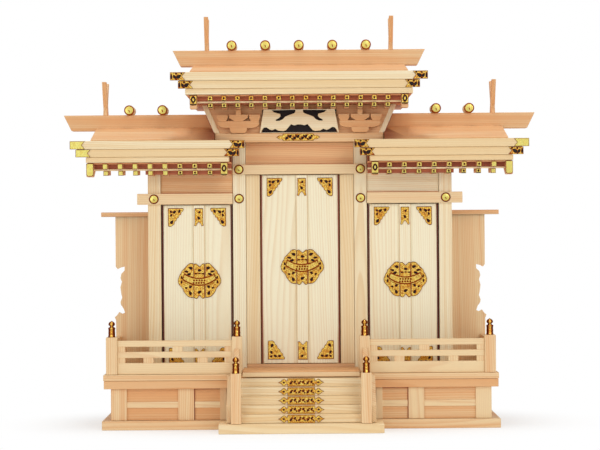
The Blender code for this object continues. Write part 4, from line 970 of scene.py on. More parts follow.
TOP_CORNER = [
    (0.0, 0.0), (0.0186, 0.0), (0.0194, -0.0012), (0.0184, -0.0040), (0.0164, -0.0050), (0.0160, -0.0078),
    (0.0138, -0.0088), (0.0132, -0.0114), (0.0110, -0.0126), (0.0104, -0.0152), (0.0082, -0.0166),
    (0.0076, -0.0196), (0.0056, -0.0214), (0.0032, -0.0230), (0.0006, -0.0227), (0.0, -0.0213),
]
TOP_CORNER_HOLES = [
    teardrop(0.0034, -0.0042, 0.0016, 2.4), teardrop(0.0081, -0.0045, 0.0023, 0.6),
    teardrop(0.0140, -0.0040, 0.0020, 4.4), teardrop(0.0038, -0.0086, 0.0017, 1.2),
    teardrop(0.0046, -0.0172, 0.0025, 0.9),
]
TOP_CORNER_LINES = [
    curl(0.0096, -0.0090, 0.0021, 0.6), curl(0.0044, -0.0128, 0.0016, 2.0, -1),
    curl(0.0110, -0.0030, 0.0012, 5.0), [(0.0062, -0.0068), (0.0072, -0.0110), (0.0066, -0.0150)],
]
FOOT_CORNER = [
    (0.0, 0.0), (0.0204, 0.0), (0.0208, 0.0022), (0.0188, 0.0044), (0.0184, 0.0072), (0.0158, 0.0092),
    (0.0150, 0.0124), (0.0122, 0.0140), (0.0112, 0.0172), (0.0092, 0.0188), (0.0082, 0.0216),
    (0.0062, 0.0232), (0.0006, 0.0232), (0.0, 0.0222),
]
FOOT_CORNER_HOLES = [
    teardrop(0.0040, 0.0038, 0.0015, 0.6), teardrop(0.0088, 0.0042, 0.0020, 2.6),
    teardrop(0.0146, 0.0042, 0.0019, 0.2), teardrop(0.0042, 0.0086, 0.0020, 5.2),
    teardrop(0.0048, 0.0172, 0.0023, 4.2),
]
FOOT_CORNER_LINES = [
    curl(0.0098, 0.0104, 0.0022, 0.6, -1), curl(0.0048, 0.0130, 0.0015, 2.0),
    curl(0.0118, 0.0028, 0.0012, 1.0), [(0.0068, 0.0074), (0.0080, 0.0130), (0.0064, 0.0150)],
]
STRIP_HEAD = [
    (-0.0052, 0.0), (0.0052, 0.0), (0.0051, -0.0180), (0.0058, -0.0214), (0.0036, -0.0222),
    (0.0022, -0.0192), (0.0, -0.0168), (-0.0022, -0.0192), (-0.0036, -0.0222), (-0.0058, -0.0214),
    (-0.0051, -0.0180),
]
STRIP_HEAD_HOLES = [
    teardrop(0.0010, -0.0044, 0.0016, 0.9), teardrop(-0.0003, -0.0118, 0.0021, 2.2),
]
STRIP_HEAD_LINES = [
    curl(-0.0018, -0.0056, 0.0014, 0.0), curl(0.0019, -0.0088, 0.0013, 3.0, -1),
    curl(-0.0026, -0.0150, 0.0011, 1.0), curl(0.0026, -0.0152, 0.0011, 2.0, -1),
]
STRIP_FOOT = [
    (-0.0059, 0.0), (0.0059, 0.0), (0.0058, 0.0188), (0.0060, 0.0226), (0.0040, 0.0230), (0.0020, 0.0204),
    (0.0, 0.0186), (-0.0020, 0.0204), (-0.0040, 0.0230), (-0.0060, 0.0226), (-0.0058, 0.0188),
]
STRIP_FOOT_HOLES = [
    teardrop(-0.0006, 0.0048, 0.0019, 0.7), teardrop(0.0008, 0.0138, 0.0019, 5.0),
]
STRIP_FOOT_LINES = [
    curl(0.0024, 0.0052, 0.0013, 0.0), curl(-0.0018, 0.0098, 0.0016, 3.0, -1),
    curl(0.0024, 0.0098, 0.0013, 1.0), curl(-0.0030, 0.0160, 0.0012, 1.0),
    [(-0.0048, 0.0014), (0.0048, 0.0014)],
]
LOCK_HALF = [
    (0.0073, -0.0206), (0.0073, 0.0216), (0.0100, 0.0223), (0.0124, 0.0221), (0.0144, 0.0209),
    (0.0160, 0.0190), (0.0176, 0.0175), (0.0202, 0.0146), (0.0226, 0.0124), (0.0232, 0.0098),
    (0.0250, 0.0074), (0.0260, 0.0047), (0.0272, 0.0014), (0.0268, -0.0024), (0.0253, -0.0051),
    (0.0232, -0.0072), (0.0212, -0.0095), (0.0202, -0.0126), (0.0181, -0.0158), (0.0155, -0.0187),
    (0.0131, -0.0202), (0.0100, -0.0208),
]
LOCK_HALF_HOLES = [
    teardrop(0.0113, 0.0165, 0.0025, 0.3), teardrop(0.0168, 0.0121, 0.0027, 0.2, 0.5),
    teardrop(0.0138, 0.0084, 0.0030, 5.9, 0.55), teardrop(0.0224, 0.0046, 0.0017, 1.4, 0.7),
    teardrop(0.0227, -0.0010, 0.0020, 1.7, 0.6), teardrop(0.0113, -0.0072, 0.0020, 2.6),
    teardrop(0.0118, -0.0150, 0.0025, 1.2), teardrop(0.0170, -0.0086, 0.0015, 0.4),
]
LOCK_HALF_LINES = [
    curl(0.0182, 0.0068, 0.0018, 1.0), curl(0.0146, -0.0118, 0.0021, 0.4, -1),
    curl(0.0196, -0.0052, 0.0017, 5.0), curl(0.0190, 0.0150, 0.0013, 2.0),
    curl(0.0238, 0.0080, 0.0010, 3.0, -1),
    [(0.0082, -0.0066), (0.0132, -0.0050), (0.0180, -0.0024), (0.0212, 0.0022)],
    [(0.0082, 0.0046), (0.0130, 0.0058), (0.0176, 0.0090), (0.0206, 0.0116)],
]
LOCK_MIDDLE = [
    (-0.0071, -0.0204), (-0.0050, -0.0217), (-0.0030, -0.0220), (-0.0012, -0.0199), (0.0003, -0.0179),
    (0.0024, -0.0204), (0.0042, -0.0221), (0.0060, -0.0213), (0.0071, -0.0204), (0.0071, 0.0212),
    (0.0056, 0.0219), (0.0038, 0.0213), (0.0020, 0.0193), (0.0004, 0.0182), (-0.0014, 0.0197),
    (-0.0036, 0.0218), (-0.0056, 0.0217), (-0.0071, 0.0208),
]
LOCK_MIDDLE_HOLES = [
    teardrop(0.0006, 0.0136, 0.0022, 0.0), teardrop(0.0004, -0.0138, 0.0025, 0.5),
    teardrop(-0.0040, 0.0093, 0.0017, 0.0, 0.5), teardrop(0.0004, 0.0096, 0.0014, 0.0, 0.5),
    teardrop(0.0046, 0.0093, 0.0017, 3.1, 0.5),
]
LOCK_MIDDLE_LINES = [
    curl(-0.0036, 0.0150, 0.0016, 1.0), curl(0.0042, 0.0152, 0.0015, 2.0, -1),
    curl(-0.0034, -0.0098, 0.0019, 0.0), curl(0.0036, -0.0096, 0.0019, 3.1, -1),
    curl(-0.0040, -0.0168, 0.0014, 1.0), curl(0.0046, -0.0166, 0.0014, 2.0, -1),
    [(-0.0068, -0.0201), (-0.0068, 0.0206)], [(0.0068, -0.0201), (0.0068, 0.0208)],
    [(-0.0065, -0.0201), (-0.0065, 0.0206)], [(0.0065, -0.0201), (0.0065, 0.0208)],
]
HEAD_DROP = 0.0048
FOOT_RISE = 0.0060
STRIP_DROP = 0.0004
CORNER_INSET = 0.0077
LOCK_PAST_JOINT = 0.0026
LOCK_HEIGHT = {"centre": 0.1987, "left": 0.1821, "right": 0.1821}
LOCK_THICK = 0.0012
BOLT_DOTS = 5
BOLT_DOT_PITCH = 0.0033
BOLT_FACE = -0.2
BOLT_SHADE = 0.0011

shares = [step / 8 - 1 for step in range(17)]
KEEL = [(0.0206 * share, -0.0049 + 0.0076 * share * share) for share in shares]
GUNWALE = [(0.0188 * share, 0.0030 + 0.0054 * share * share) for share in reversed(shares)]
BOLT_OUTLINE = [(u * 1.03, v - BOLT_SHADE) for u, v in KEEL]
BOLT_OUTLINE += [(u * 1.03, v + BOLT_SHADE) for u, v in GUNWALE]
BOLT_HOLES = []
for number in range(BOLT_DOTS):
    u = (number - (BOLT_DOTS - 1) / 2) * BOLT_DOT_PITCH
    BOLT_HOLES.append(teardrop(u, 0.0010, 0.0009, 1.57, 1.2))
    BOLT_HOLES.append(teardrop(u - 0.0006, -0.0021, 0.0009, 1.57, 1.2))

for word in ("centre", "left", "right"):
    leaves = {side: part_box(f"{word}_door_{side}") for side in ("left", "right")}
    low, high = leaves["left"]
    face = high.y - LEAF_THICK
    strip_face = leaves["right"][0].y
    middle = high.x + MEETING_GAP / 2
    strip_x = middle - STRIP_LAP + STRIP_WIDTH / 2
    head = high.z + PIVOT_SHORT - HEAD_DROP
    foot = low.z - PIVOT_SHORT + FOOT_RISE
    lock_x = middle + LOCK_PAST_JOINT
    lock_z = LOCK_HEIGHT[word]
    for side, sign in (("left", -1), ("right", 1)):
        node = f"{word}_door_{side}"
        x = middle + sign * (abs(leaves[side][0 if sign < 0 else 1].x - middle) - CORNER_INSET)
        gold = Giltwork(f"{node}_fittings")
        laid(gold, (TOP_CORNER, TOP_CORNER_HOLES, TOP_CORNER_LINES), x, head, face, -sign)
        laid(gold, (FOOT_CORNER, FOOT_CORNER_HOLES, FOOT_CORNER_LINES), x, foot, face, -sign)
        half_lock = (LOCK_HALF, LOCK_HALF_HOLES, LOCK_HALF_LINES)
        laid(gold, half_lock, lock_x, lock_z, face, sign, thick=LOCK_THICK)
        if sign > 0:
            strip_head = (STRIP_HEAD, STRIP_HEAD_HOLES, STRIP_HEAD_LINES)
            laid(gold, strip_head, strip_x, head - STRIP_DROP, strip_face)
            strip_foot = (STRIP_FOOT, STRIP_FOOT_HOLES, STRIP_FOOT_LINES)
            laid(gold, strip_foot, strip_x, foot - STRIP_DROP, strip_face)
            lock_middle = (LOCK_MIDDLE, LOCK_MIDDLE_HOLES, LOCK_MIDDLE_LINES)
            laid(gold, lock_middle, strip_x, lock_z, strip_face, thick=LOCK_THICK)
            # A brown sheet a little larger than the bolt paints its shadow, and the bolt's face is partly
            # the flat glare gold.
            outline = moved(BOLT_OUTLINE, lock_x, lock_z)
            gold.sheet(outline, strip_face - LOCK_THICK, 0.0004, -1, 0, LINE_PATINA + 0.1)
            gold.face = BOLT_FACE
            bolt = (KEEL + GUNWALE, BOLT_HOLES, [])
            laid(gold, bolt, lock_x, lock_z, strip_face - 0.0014, thick=LOCK_THICK, ground=None)
            gold.face = 0.0
        gold.done(node)


# Covers over the pegs of the beams
# A flat round cover with a raised brown rim hides each peg, two on every post of the middle room
# and one on each outer post.
PEG_PROFILE = (
    (0.00000, 0.0016, -0.5), (0.00400, 0.0015, -0.5), (0.00440, 0.0014, -0.3), (0.00460, 0.0014, 0.6),
    (0.00480, 0.0016, 0.6), (0.00515, 0.0017, 0.5), (0.00545, 0.0014, 0.6), (0.00565, 0.0008, 0.8),
    (0.00565, 0.0000, 0.9), (0.00000, 0.0000, 0.9),
)
PEG_GROUND = 0.0061
angles = [math.tau * number / 24 for number in range(24)]
PEG_RING = [(PEG_GROUND * math.cos(angle), PEG_GROUND * math.sin(angle)) for angle in angles]
PEG_TICK = [(-0.0009, -0.0002), (0.0, -0.0008), (0.0006, -0.0020)]
PEGS = (
    ("centre_post_left", "beam_centre", -0.0767, 0.3225),
    ("centre_post_right", "beam_centre", 0.0767, 0.3225),
    ("centre_post_left", None, -0.0767, 0.2858), ("centre_post_right", None, 0.0767, 0.2858),
    ("outer_post_left", "beam_left", -0.1841, 0.2858), ("outer_post_right", "beam_right", 0.1841, 0.2858),
)
for number, (post, beam, x, z) in enumerate(PEGS):
    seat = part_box(beam or post)[0].y
    cover = Giltwork(f"peg_cover_{number + 1}", plain=True)
    # The cover's flat face is the glare gold, and the dark ring under it paints its shadow.
    cover.turned(PEG_PROFILE, (x, seat, z), "y", 28)
    cover.backing(moved(PEG_RING, x, z), seat, 0.0, 0.0003, -1)
    cover.chased(moved(PEG_TICK, x, z), seat - 0.00158, 0.0013)
    cover.done()


# The plate, the frieze and its brackets
# A heavy plate crosses the posts of the middle room. On it stands a frieze that flares outwards,
# with a bracket set over each post.
Joinery("wall_plate", "plain", 0.55).board(*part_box("top_plate"), "x", 0.0007).done("top_plate")
Joinery("frieze_board", "warm", 0.1).node("frieze", "x", 0.0005).done("frieze")
for side in ("left", "right"):
    node = f"bracket_{side}"
    Joinery(f"{node}_carved", "plain", 0.9).node(node, "x", 0.00035).done(node)

FRIEZE_STILE = 0.0056
STILE_LAP = 0.0011
RED_LAP = 0.0010
RED_LAP_RISE = 0.65
low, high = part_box("frieze")
plate_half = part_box("top_plate")[1].x
edges = Joinery("frieze_stiles", "pale", 0.55)
for side in (-1, 1):
    outline = [
        (side * (plate_half + STILE_LAP), low.z), (side * (plate_half - FRIEZE_STILE), low.z),
        (side * (high.x - FRIEZE_STILE), high.z), (side * (high.x + STILE_LAP), high.z),
    ]
    edges.sawn(outline, low.y - 0.0012, low.y + 0.0006, "front", "z", 0.0003)
edges.done()
# Thin strips of the red stock along the outer edges of the stiles paint the shadow where the frieze meets
# the wing roofs.
lap = Joinery("frieze_laps", "red", 0.8)
inner = plate_half + STILE_LAP
lean = (high.x - plate_half) * RED_LAP_RISE
foot, head = low.z + 0.0006, low.z + (high.z - low.z) * RED_LAP_RISE
for side in (-1, 1):
    outline = [
        (side * inner, foot), (side * (inner + RED_LAP), foot), (side * (inner + RED_LAP + lean), head),
        (side * (inner + lean), head),
    ]
    lap.sawn(outline, low.y - 0.0008, low.y + 0.0006, "front", "z", 0.0002)
lap.done()


# The cloud transom
# A pale board fretted with clouds fills the middle of the frieze. Behind its openings a near-black
# sheet paints the shade of the roof space.
Joinery("cloud_fret", "pale", 0.5).node("cloud_transom", "x", 0.0003).done("cloud_transom")

dark_air, dark_tree, dark_surface = finish("dark_roof_space")
dark_place = spot(dark_tree)
shade_mottle = dark_place.clouds(60.0, 3.0).between(0.35, 0.75)
mixed(shade_mottle, paint(20, 8, 12), paint(34, 16, 18)).feed(dark_surface.inputs["Base Color"])
(0.85 + shade_mottle * 0.1).feed(dark_surface.inputs["Roughness"])
low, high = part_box("cloud_transom")
bm = bmesh.new()
size = Vector((high.x - low.x - 0.006, 0.0012, high.z - low.z - 0.0012))
middle = Vector((0.0, high.y + 0.0010, (low.z + high.z) / 2))
bmesh.ops.create_cube(bm, size=1.0, matrix=Matrix.Translation(middle) @ Matrix.Diagonal((*size, 1.0)))
bmesh.ops.bevel(bm, geom=bm.edges[:], offset=0.0002, affect="EDGES", segments=1, profile=0.5, material=-1)
shade_mesh = bpy.data.meshes.new("dark_behind_clouds")
bm.to_mesh(shade_mesh)
bm.free()
shade_mesh.materials.append(dark_air)
shade = bpy.data.objects.new("dark_behind_clouds", shade_mesh)
bpy.context.scene.collection.objects.link(shade)
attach(shade, "root")


# The plate on the wall plate
# One long pierced plate with pointed ends, pinned to the middle of the wall plate.
BEAM_PLATE_X = -0.0014
BEAM_PLATE_Z = 0.3625
BEAM_PLATE = [(-0.0272, 0.0), (-0.0232, 0.0026), (-0.0206, 0.0020), (-0.0186, 0.0044)]


def four_ways(corner):
    """A whole outline from its upper left quarter, which starts at the left tip."""
    upper = corner + [(-u, v) for u, v in reversed(corner)]
    return upper + [(u, -v) for u, v in reversed(upper[1:-1])]


def scroll_holes(half, count, size):
    """A row of openings that lean to and fro, as scrolls of arabesque leave them."""
    holes = []
    for number in range(count):
        u = -half + 2 * half * (number + 0.5) / count
        rise = size * (0.55 if number % 2 else -0.55)
        holes.append(teardrop(u, rise, size, 0.9 if number % 2 else 3.9))
        holes.append(teardrop(u + size * 0.9, -rise * 1.5, size * 0.55, 2.4))
    return holes


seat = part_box("top_plate")[0].y
mount = Giltwork("wall_plate_mount")
drawing = (four_ways(BEAM_PLATE), scroll_holes(0.0172, 7, 0.0024), [])
laid(mount, drawing, BEAM_PLATE_X, BEAM_PLATE_Z, seat, rim=0.0004)
mount.done()


# The plates on the steps
# One pierced plate on each riser, a tall middle with a pointed lobe at both ends.
STEP_PLATE = four_ways([
    (-0.0279, 0.0), (-0.0246, 0.0015), (-0.0224, 0.0036), (-0.0204, 0.0043), (-0.0190, 0.0030),
    (-0.0178, 0.0018), (-0.0166, 0.0022), (-0.0165, 0.0050),
])
STEP_HOLES = scroll_holes(0.0154, 6, 0.0018) + [teardrop(sign * 0.0212, 0.0, 0.0013) for sign in (-1, 1)]
STEP_LINES = [[(-0.0152, height), (0.0152, height)] for height in (-0.0038, 0.0038)]
STEP_LINES += [curl(-0.0128 + 0.0051 * number, 0.0, 0.0014, number * 2.0) for number in range(6)]

low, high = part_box("stair_flight")
for step in range(STEPS):
    z = base_top + rise * (step + 0.5)
    step_plate = Giltwork(f"step_plate_{step + 1}")
    laid(step_plate, (STEP_PLATE, STEP_HOLES, STEP_LINES), 0.0, z, low.y + tread * step, rim=0.0004)
    step_plate.done()


# The rafters
# Two tiers of rafters under thin soffit boards. Every rafter end has a gilt cap, and at the
# corners a longer plate covers both tiers.
RAFTER = 0.0062
UPPER_RAFTER = 0.0070
LOWER_RAFTER = 0.0075
SOFFIT = 0.0016
LAP = 0.0005
FIT = 0.0003
UPPER_SET_BACK = 0.0080
LOWER_SET_BACK = 0.0180
CLOSING_SET_BACK = 0.0020
CLOSING_BOARD = 0.0050
CORNER_DROP = 0.0018
CORNER_FOOT = 0.013
CORNER_DEPTH = 0.030
CORNER_X = {"centre": (-0.1308, 0.1308), "left": (-0.2603, -0.0937), "right": (0.0937, 0.2603)}
CORNER = 0.0088
POST_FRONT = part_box("centre_post_left")[0].y
ROOFS = {
    "centre": {"eave": 0.063, "count": 14, "pitch": 0.01693, "middle": 0.0, "wall": 0.0030},
    "left": {"eave": 0.053, "count": 8, "pitch": 0.01854, "middle": -0.17655, "wall": 0.0},
    "right": {"eave": 0.053, "count": 8, "pitch": 0.01854, "middle": 0.17655, "wall": 0.0},
}
SPANS = {
    "centre": ((-0.1350, 0.1350), (-0.1388, 0.1388)),
    "left": ((-0.2600, -0.0849), (-0.2635, -0.0849)),
    "right": ((0.0849, 0.2600), (0.0849, 0.2635)),
}
CAP = 0.0010
BLOCKING = 0.0014
CORNER_PLATE = 0.0086
LOZENGE = [(0.0, 0.0044), (0.0019, 0.0028), (0.0030, 0.0), (0.0019, -0.0028), (0.0, -0.0044)]
LOZENGE += [(-u, v) for u, v in reversed(LOZENGE[1:-1])]
# Caps and corner plates outside this span are left flat and plain: painted glare on the outer fittings.
CHASED_CAPS = (-0.165, 0.225)
OVERHANG_FROM = 0.1925
OVERHANG_RISE = 0.0056
FILLET = 0.0006
BLOCKING_SET_BACK = 0.0060
FILLER = (0.001, 0.026)
WING_CAP_FACE = -0.32
UPPER_CAP_FACE = -0.1
CORNER_CAP_FACE = -0.2
CORNER_SHADOW = [(-0.0034, 0.0008), (0.0034, 0.0008), (0.0034, 0.0019), (-0.0034, 0.0019)]

for word, roof in ROOFS.items():
    node = f"rafters_{word}"
    wing = word != "centre"
    low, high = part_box(node)
    back = high.y - LAP
    rafter_low = low.z + CORNER_DROP
    soffit_low = rafter_low + LOWER_RAFTER - SOFFIT
    lower_top = soffit_low + SOFFIT + LAP
    upper_low = lower_top + UPPER_RAFTER - 2 * LAP
    upper_front = POST_FRONT - roof["eave"] + UPPER_SET_BACK
    lower_front = POST_FRONT - roof["eave"] + LOWER_SET_BACK
    soffit_front = lower_front + FILLET
    (lower_a, lower_b), (upper_a, upper_b) = SPANS[word]
    wall_a = max(lower_a, -OVERHANG_FROM) if wing else lower_a
    wall_b = min(lower_b, OVERHANG_FROM) if wing else lower_b
    rafters = Joinery(f"double_rafters_{word}", "warm", 0.6)
    rafters.board((wall_a, soffit_front, soffit_low), (wall_b, back, lower_top), "x", 0.0003)
    slope = [
        (soffit_front, soffit_low), (back, soffit_low + OVERHANG_RISE), (back, lower_top + OVERHANG_RISE),
        (soffit_front, lower_top),
    ]
    for start, end in ((lower_a, wall_a), (wall_b, lower_b)):
        if end - start > 0.001:
            rafters.sawn(slope, start, end, "side", "x")
    rafters.board((upper_a, upper_front + FILLET, upper_low), (upper_b, high.y, high.z), "x", 0.0003)
    # The closing boards and blocking are of the red stock: painted shade between the rafters. Under the
    # middle soffit the blocking is only a painted shadow line.
    closing = lower_front + CLOSING_SET_BACK
    fill = Joinery(f"rafter_blocking_{word}", "red", 0.6 if wing else 0.15)
    fill.board((lower_a, closing, lower_top), (lower_b, closing + CLOSING_BOARD, upper_low), "x", 0.0002)
    near = (wall_a, lower_front + BLOCKING_SET_BACK, rafter_low + 0.0010 if wing else soffit_low - BLOCKING)
    far = (wall_b, lower_front + BLOCKING_SET_BACK + 0.0020, soffit_low)
    fill.board(near, far, "x", 0.0002, 0.4)
    fill.done()
    near = (lower_a, POST_FRONT + FILLER[0], lower_top)
    rafters.board(near, (lower_b, POST_FRONT + FILLER[1], upper_low), "x")
    # The fillet along the front edge of the lower soffit is of the pale stock: a painted highlight where
    # that edge catches the light.
    fillets = Joinery(f"rafter_fillet_{word}", "pale", 0.75)
    fillets.board((lower_a, lower_front, soffit_low), (lower_b, soffit_front, lower_top), "x", 0.0002)
    fillets.done()
    first = roof["middle"] - roof["pitch"] * (roof["count"] - 1) / 2
    caps = Giltwork(f"rafter_caps_{word}")
    half = RAFTER / 2
    wide = half - 0.0002
    foot_back = POST_FRONT - roof["wall"] - FIT
    for number in range(roof["count"]):
        x = first + roof["pitch"] * number
        out = wing and abs(x) > OVERHANG_FROM
        foot_rise = OVERHANG_RISE * (foot_back - lower_front) / (high.y - lower_front) if out else 0.0
        under = [
            (lower_front, rafter_low), (foot_back, rafter_low + foot_rise),
            (foot_back, soffit_low + foot_rise), (lower_front, soffit_low),
        ]
        rafters.sawn(under, x - half, x + half, "side", "y", 0.0003, 0.2)
        back_rise = OVERHANG_RISE - 0.0006 if out else 0.0
        over = [
            (upper_front, lower_top), (lower_front, lower_top), (back, lower_top + back_rise),
            (back, upper_low), (upper_front, upper_low),
        ]
        rafters.sawn(over, x - half, x + half, "side", "y", 0.0003, 0.2)
        plain = not CHASED_CAPS[0] <= x <= CHASED_CAPS[1]
        for front, bottom, top in (
            (upper_front, lower_top - 0.0002, upper_low + 0.0002),
            (lower_front, rafter_low, soffit_low - 0.0002),
        ):
            middle_z = (bottom + top) / 2
            tall = (top - bottom) / 2 - 0.0001
            corners = [(-wide, -tall), (wide, -tall), (wide, tall), (-wide, tall)]
            cap_face = WING_CAP_FACE if wing or front == lower_front else UPPER_CAP_FACE
            caps.face = GLARE_FACE if plain else cap_face
            hole = teardrop(x, middle_z + 0.0004, 0.0012, 1.57 + 0.4 * (number % 3 - 1), 1.1)
            caps.plate(moved(corners, x, middle_z), [] if plain else [hole], front, CAP, 0.0002, 0.0004)
            if not plain:
                # A dark bar under each chased cap paints its shadow.
                cap_shadow = [(-0.8, 0.0002), (0.8, 0.0002), (0.7, 0.0011), (-0.7, 0.0011)]
                cap_shadow = [(share * wide, height) for share, height in cap_shadow]
                caps.sheet(moved(cap_shadow, x, bottom), front - CAP, 0.0001, -1, 1, 0.0)
    block_back = upper_front + CORNER_DEPTH
    for x in CORNER_X[word]:
        outline = [
            (upper_front, low.z), (upper_front + CORNER_FOOT, low.z), (block_back, soffit_low),
            (block_back, upper_low), (upper_front, upper_low),
        ]
        rafters.sawn(outline, x - CORNER / 2, x + CORNER / 2, "side", "y", 0.0012, 0.2)
        plain = not CHASED_CAPS[0] <= x <= CHASED_CAPS[1]
        wide = CORNER_PLATE / 2
        top = upper_low + 0.0008
        bottom = low.z + (0.0010 if wing else 0.0044)
        outline = [
            (x - wide, top), (x - wide, bottom + 0.0016), (x - wide * 0.5, bottom), (x + wide * 0.5, bottom),
            (x + wide, bottom + 0.0016), (x + wide, top),
        ]
        middle_z = (top + bottom) / 2 + 0.0010
        cap_face = WING_CAP_FACE if wing else CORNER_CAP_FACE
        caps.face = GLARE_FACE if plain else cap_face
        caps.plate(outline, [] if plain else [moved(LOZENGE, x, middle_z)], upper_front, CAP, 0.0003)
        if not plain:
            small = [(u * 0.42, v * 0.5) for u, v in LOZENGE]
            caps.sheet(moved(small, x, middle_z), upper_front, CAP * 0.9, -1, 0, caps.face)
            # A dark bar under the corner plate paints its shadow.
            caps.sheet(moved(CORNER_SHADOW, x, bottom), upper_front - CAP, 0.0001, -1, 1, 0.0)
    rafters.done(node)
    caps.done()


# The eaves
# Three boards, each standing out a little over the one below, run along the front of every roof.
# The ends of the upper two wear gilt sleeves with forked inner ends.
EAVE_DEPTH = 0.035
EAVE_STEP = 0.0025
EAVES = {
    "centre": (((-0.1407, 0.1407), (-0.1490, 0.1490), (-0.1586, 0.1586)), (0.0070, 0.0100, 0.0105)),
    "left": (((-0.2650, -0.0877), (-0.2771, -0.0752), (-0.2839, -0.0683)), (0.0066, 0.0098, 0.0104)),
    "right": (((0.0877, 0.2650), (0.0752, 0.2771), (0.0683, 0.2839)), (0.0066, 0.0098, 0.0104)),
}
EAVE_TONES = {"centre": (0.65, 0.85, 0.5), "left": (0.85, 1.0, 0.6), "right": (0.95, 1.0, 0.8)}
SLEEVE = 0.0182
SLEEVE_FORK = 0.0040
SLEEVE_HOLES = (
    (0.0015, 0.50, 0.0034, 1.57, 0.4), (0.0052, 0.46, 0.0026, 2.2), (0.0106, 0.47, 0.0034, 0.6),
    (0.0076, 0.80, 0.0013, 0.0), (0.0070, 0.15, 0.0011, 3.1), (0.0142, 0.80, 0.0012, 5.6),
)
SLEEVE_CURLS = ((0.0040, 0.80, 0.0010, 0.0), (0.0138, 0.22, 0.0012, 2.0))
EAVE_JOINT = 0.0001
EAVE_RISE = 0.0032


def sleeve_drawing(height, in_glare):
    """A sleeve with a forked inner end, chased all over unless it is in glare, where it is left plain and
    flat.
    """
    fork = (SLEEVE - SLEEVE_FORK, height / 2)
    outline = [(0.0, 0.0004), (SLEEVE, 0.0004), fork, (SLEEVE, height - 0.0004), (0.0, height - 0.0004)]
    if in_glare:
        return outline, [], []
    holes = [teardrop(u, height * share, *shape) for u, share, *shape in SLEEVE_HOLES]
    return outline, holes, [curl(u, height * share, *shape) for u, share, *shape in SLEEVE_CURLS]


for word, (spans, heights) in EAVES.items():
    node = f"eave_{word}"
    front_line = POST_FRONT - ROOFS[word]["eave"]
    back = front_line + EAVE_DEPTH
    boards = Joinery(f"eave_boards_{word}", "pale", 0.4)
    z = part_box(node)[0].z
    for tier, ((x_low, x_high), height) in enumerate(zip(spans, heights)):
        front = front_line + EAVE_STEP * (2 - tier)
        top = z + height
        bottom = z + EAVE_JOINT * (tier > 0)
        tone = EAVE_TONES[word][tier]
        flat_low, flat_high = spans[tier - 1] if tier else (x_low, x_high)
        inset = 0.001 if tier else 0.0
        near = (flat_low + inset, front, bottom)
        boards.board(near, (flat_high - inset, back, top), "x", 0.0005, tone)
        if tier:
            slope = [(front, bottom), (back, bottom + EAVE_RISE), (back, top), (front, top)]
            boards.sawn(slope, x_low, flat_low + 2 * inset, "side", "x", 0.0005, tone)
            boards.sawn(slope, flat_high - 2 * inset, x_high, "side", "x", 0.0005, tone)
            for x, sign, end in ((x_low, 1, "left"), (x_high, -1, "right")):
                # The sleeves at the outer ends of the wings are left flat and plain: painted glare.
                in_glare = (word == "left" and sign > 0) or (word == "right" and sign < 0 and tier == 2)
                sleeve = Giltwork(f"eave_sleeve_{word}_{tier}_{end}", plain=in_glare)
                drawing = sleeve_drawing(height, in_glare)
                laid(sleeve, drawing, x, z, front, sign, ground=0.0003, rim=0.0004)
                sleeve.done()
        z = top
    boards.done(node)


# The roofs
# Each roof is one low gable of smooth boards. The front slope ends on the eave boards.
for word, blush_and_shade in (("centre", 0.85), ("left", 0.70), ("right", 0.80)):
    node = f"roof_{word}"
    boards = Joinery(f"{node}_boards", "plain", blush_and_shade).node(node, "x", 0.0005)
    if word != "centre":
        # Painted shadow of the middle roof on the inner end of each wing roof.
        boards.paint_shadow_inward((0.162, 0.135, 0.110), 0.085, 3.6, 0.0)
    boards.done(node)


# The ridges
# A heavy ridge board with splayed ends lies along each roof. Round billets (katsuogi) lie across
# it, and crossed boards (chigi) stand near its ends.
RIDGE_Y = 0.013
RIDGE_DEPTH = 0.020
RIDGE_SPLAY = 0.0098
BILLET_RADIUS = 0.0064
BILLET_LENGTH = 0.028
CHIGI = 0.0054
CHIGI_WIDTH = 0.0100
CHIGI_RISE = 0.0418
CHIGI_LEAN = 0.017
CHIGI_FOOT = 0.0060
RIDGES = {
    "centre": ((-0.0858, -0.0429, 0.0, 0.0429, 0.0858), (-0.1180, 0.1180), 0.0200),
    "left": ((-0.1747, -0.2171), (-0.2482,), 0.0198),
    "right": ((0.1747, 0.2171), (0.2482,), 0.0198),
}
BILLET_TICK = [(-0.0004, 0.0004), (0.0002, -0.0010), (0.0004, -0.0028)]
BILLET_CAP = (
    (0.0, 0.0010, -0.4), (0.0045, 0.0009, -0.4), (0.0050, 0.0008, -0.2), (0.0052, 0.0005, 0.7),
    (0.0056, 0.0006, 0.8), (0.0061, 0.0006, 0.6), (0.0064, 0.0003, 0.6), (0.0065, -0.0002, 0.4),
    (0.0065, -0.0030, 0.2), (0.0062, -0.0032, 0.5),
)

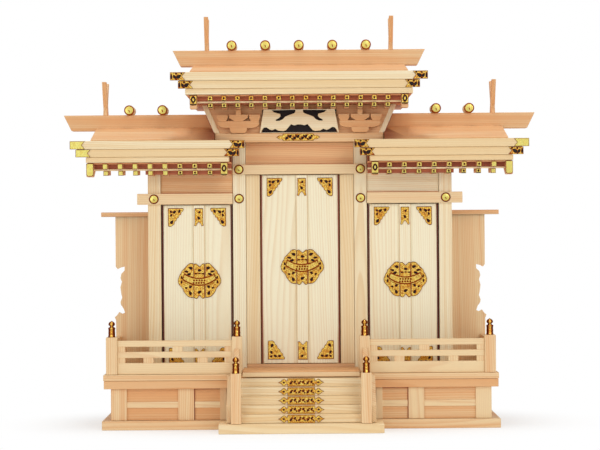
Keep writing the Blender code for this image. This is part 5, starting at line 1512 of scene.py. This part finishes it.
for word, (billets, crossed, height) in RIDGES.items():
    node = f"ridge_{word}"
    low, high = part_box(node)
    top = low.z + height
    front, back_y = RIDGE_Y - RIDGE_DEPTH / 2, RIDGE_Y + RIDGE_DEPTH / 2
    if word == "centre":
        outline = [(low.x + RIDGE_SPLAY, low.z), (high.x - RIDGE_SPLAY, low.z), (high.x, top), (low.x, top)]
    else:
        sign = -1 if word == "left" else 1
        corners = [vertex.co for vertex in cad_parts[node].data.vertices]
        foot = [sign * abs(corner.x) for corner in corners if abs(corner.z - low.z) < 0.0005]
        head = [sign * abs(corner.x) for corner in corners if abs(corner.z - top) < 0.0005]
        inner, outer = (min, max) if sign > 0 else (max, min)
        outline = [(inner(foot), low.z), (outer(foot), low.z), (outer(head), top), (inner(head), top)]
    ridge = Joinery(f"ridge_board_{word}", "plain", 0.65 if word == "centre" else 0.75)
    ridge.sawn(outline, front, back_y, "front", "x", 0.0006)
    if word != "centre":
        # Painted shadow of the middle roof on the inner end of each wing ridge.
        ridge.paint_shadow_inward((0.150, 0.125, 0.105), 0.095, 1.9, RIDGE_Y)
    caps = Giltwork(f"billet_caps_{word}")
    for x in billets:
        middle = (x, RIDGE_Y, top + BILLET_RADIUS - LAP)
        ridge.rod(middle, BILLET_RADIUS, BILLET_LENGTH - 0.001, "y", "y", 0.3, 32)
        for end, axis in ((-1, "y"), (1, "-y")):
            face_y = RIDGE_Y + end * (BILLET_LENGTH / 2 - 0.0004)
            caps.turned(BILLET_CAP, (x, face_y, middle[2]), axis, 32)
            caps.chased(moved(BILLET_TICK, x, middle[2]), face_y + end * 0.00098, 0.0012, end)
    for x in crossed:
        for lean, thick in ((-1, CHIGI), (1, CHIGI - 2 * FIT)):
            bottom_y = RIDGE_Y - lean * CHIGI_FOOT
            top_y = RIDGE_Y + lean * CHIGI_LEAN
            half = CHIGI_WIDTH / 2
            outline = [
                (bottom_y - half, top - thick / 10), (bottom_y + half, top - thick / 10),
                (top_y + half, top + CHIGI_RISE), (top_y - half, top + CHIGI_RISE),
            ]
            ridge.sawn(outline, x - thick / 2, x + thick / 2, "side", "z", 0.0004, 0.75)
    ridge.done(node)
    caps.done()
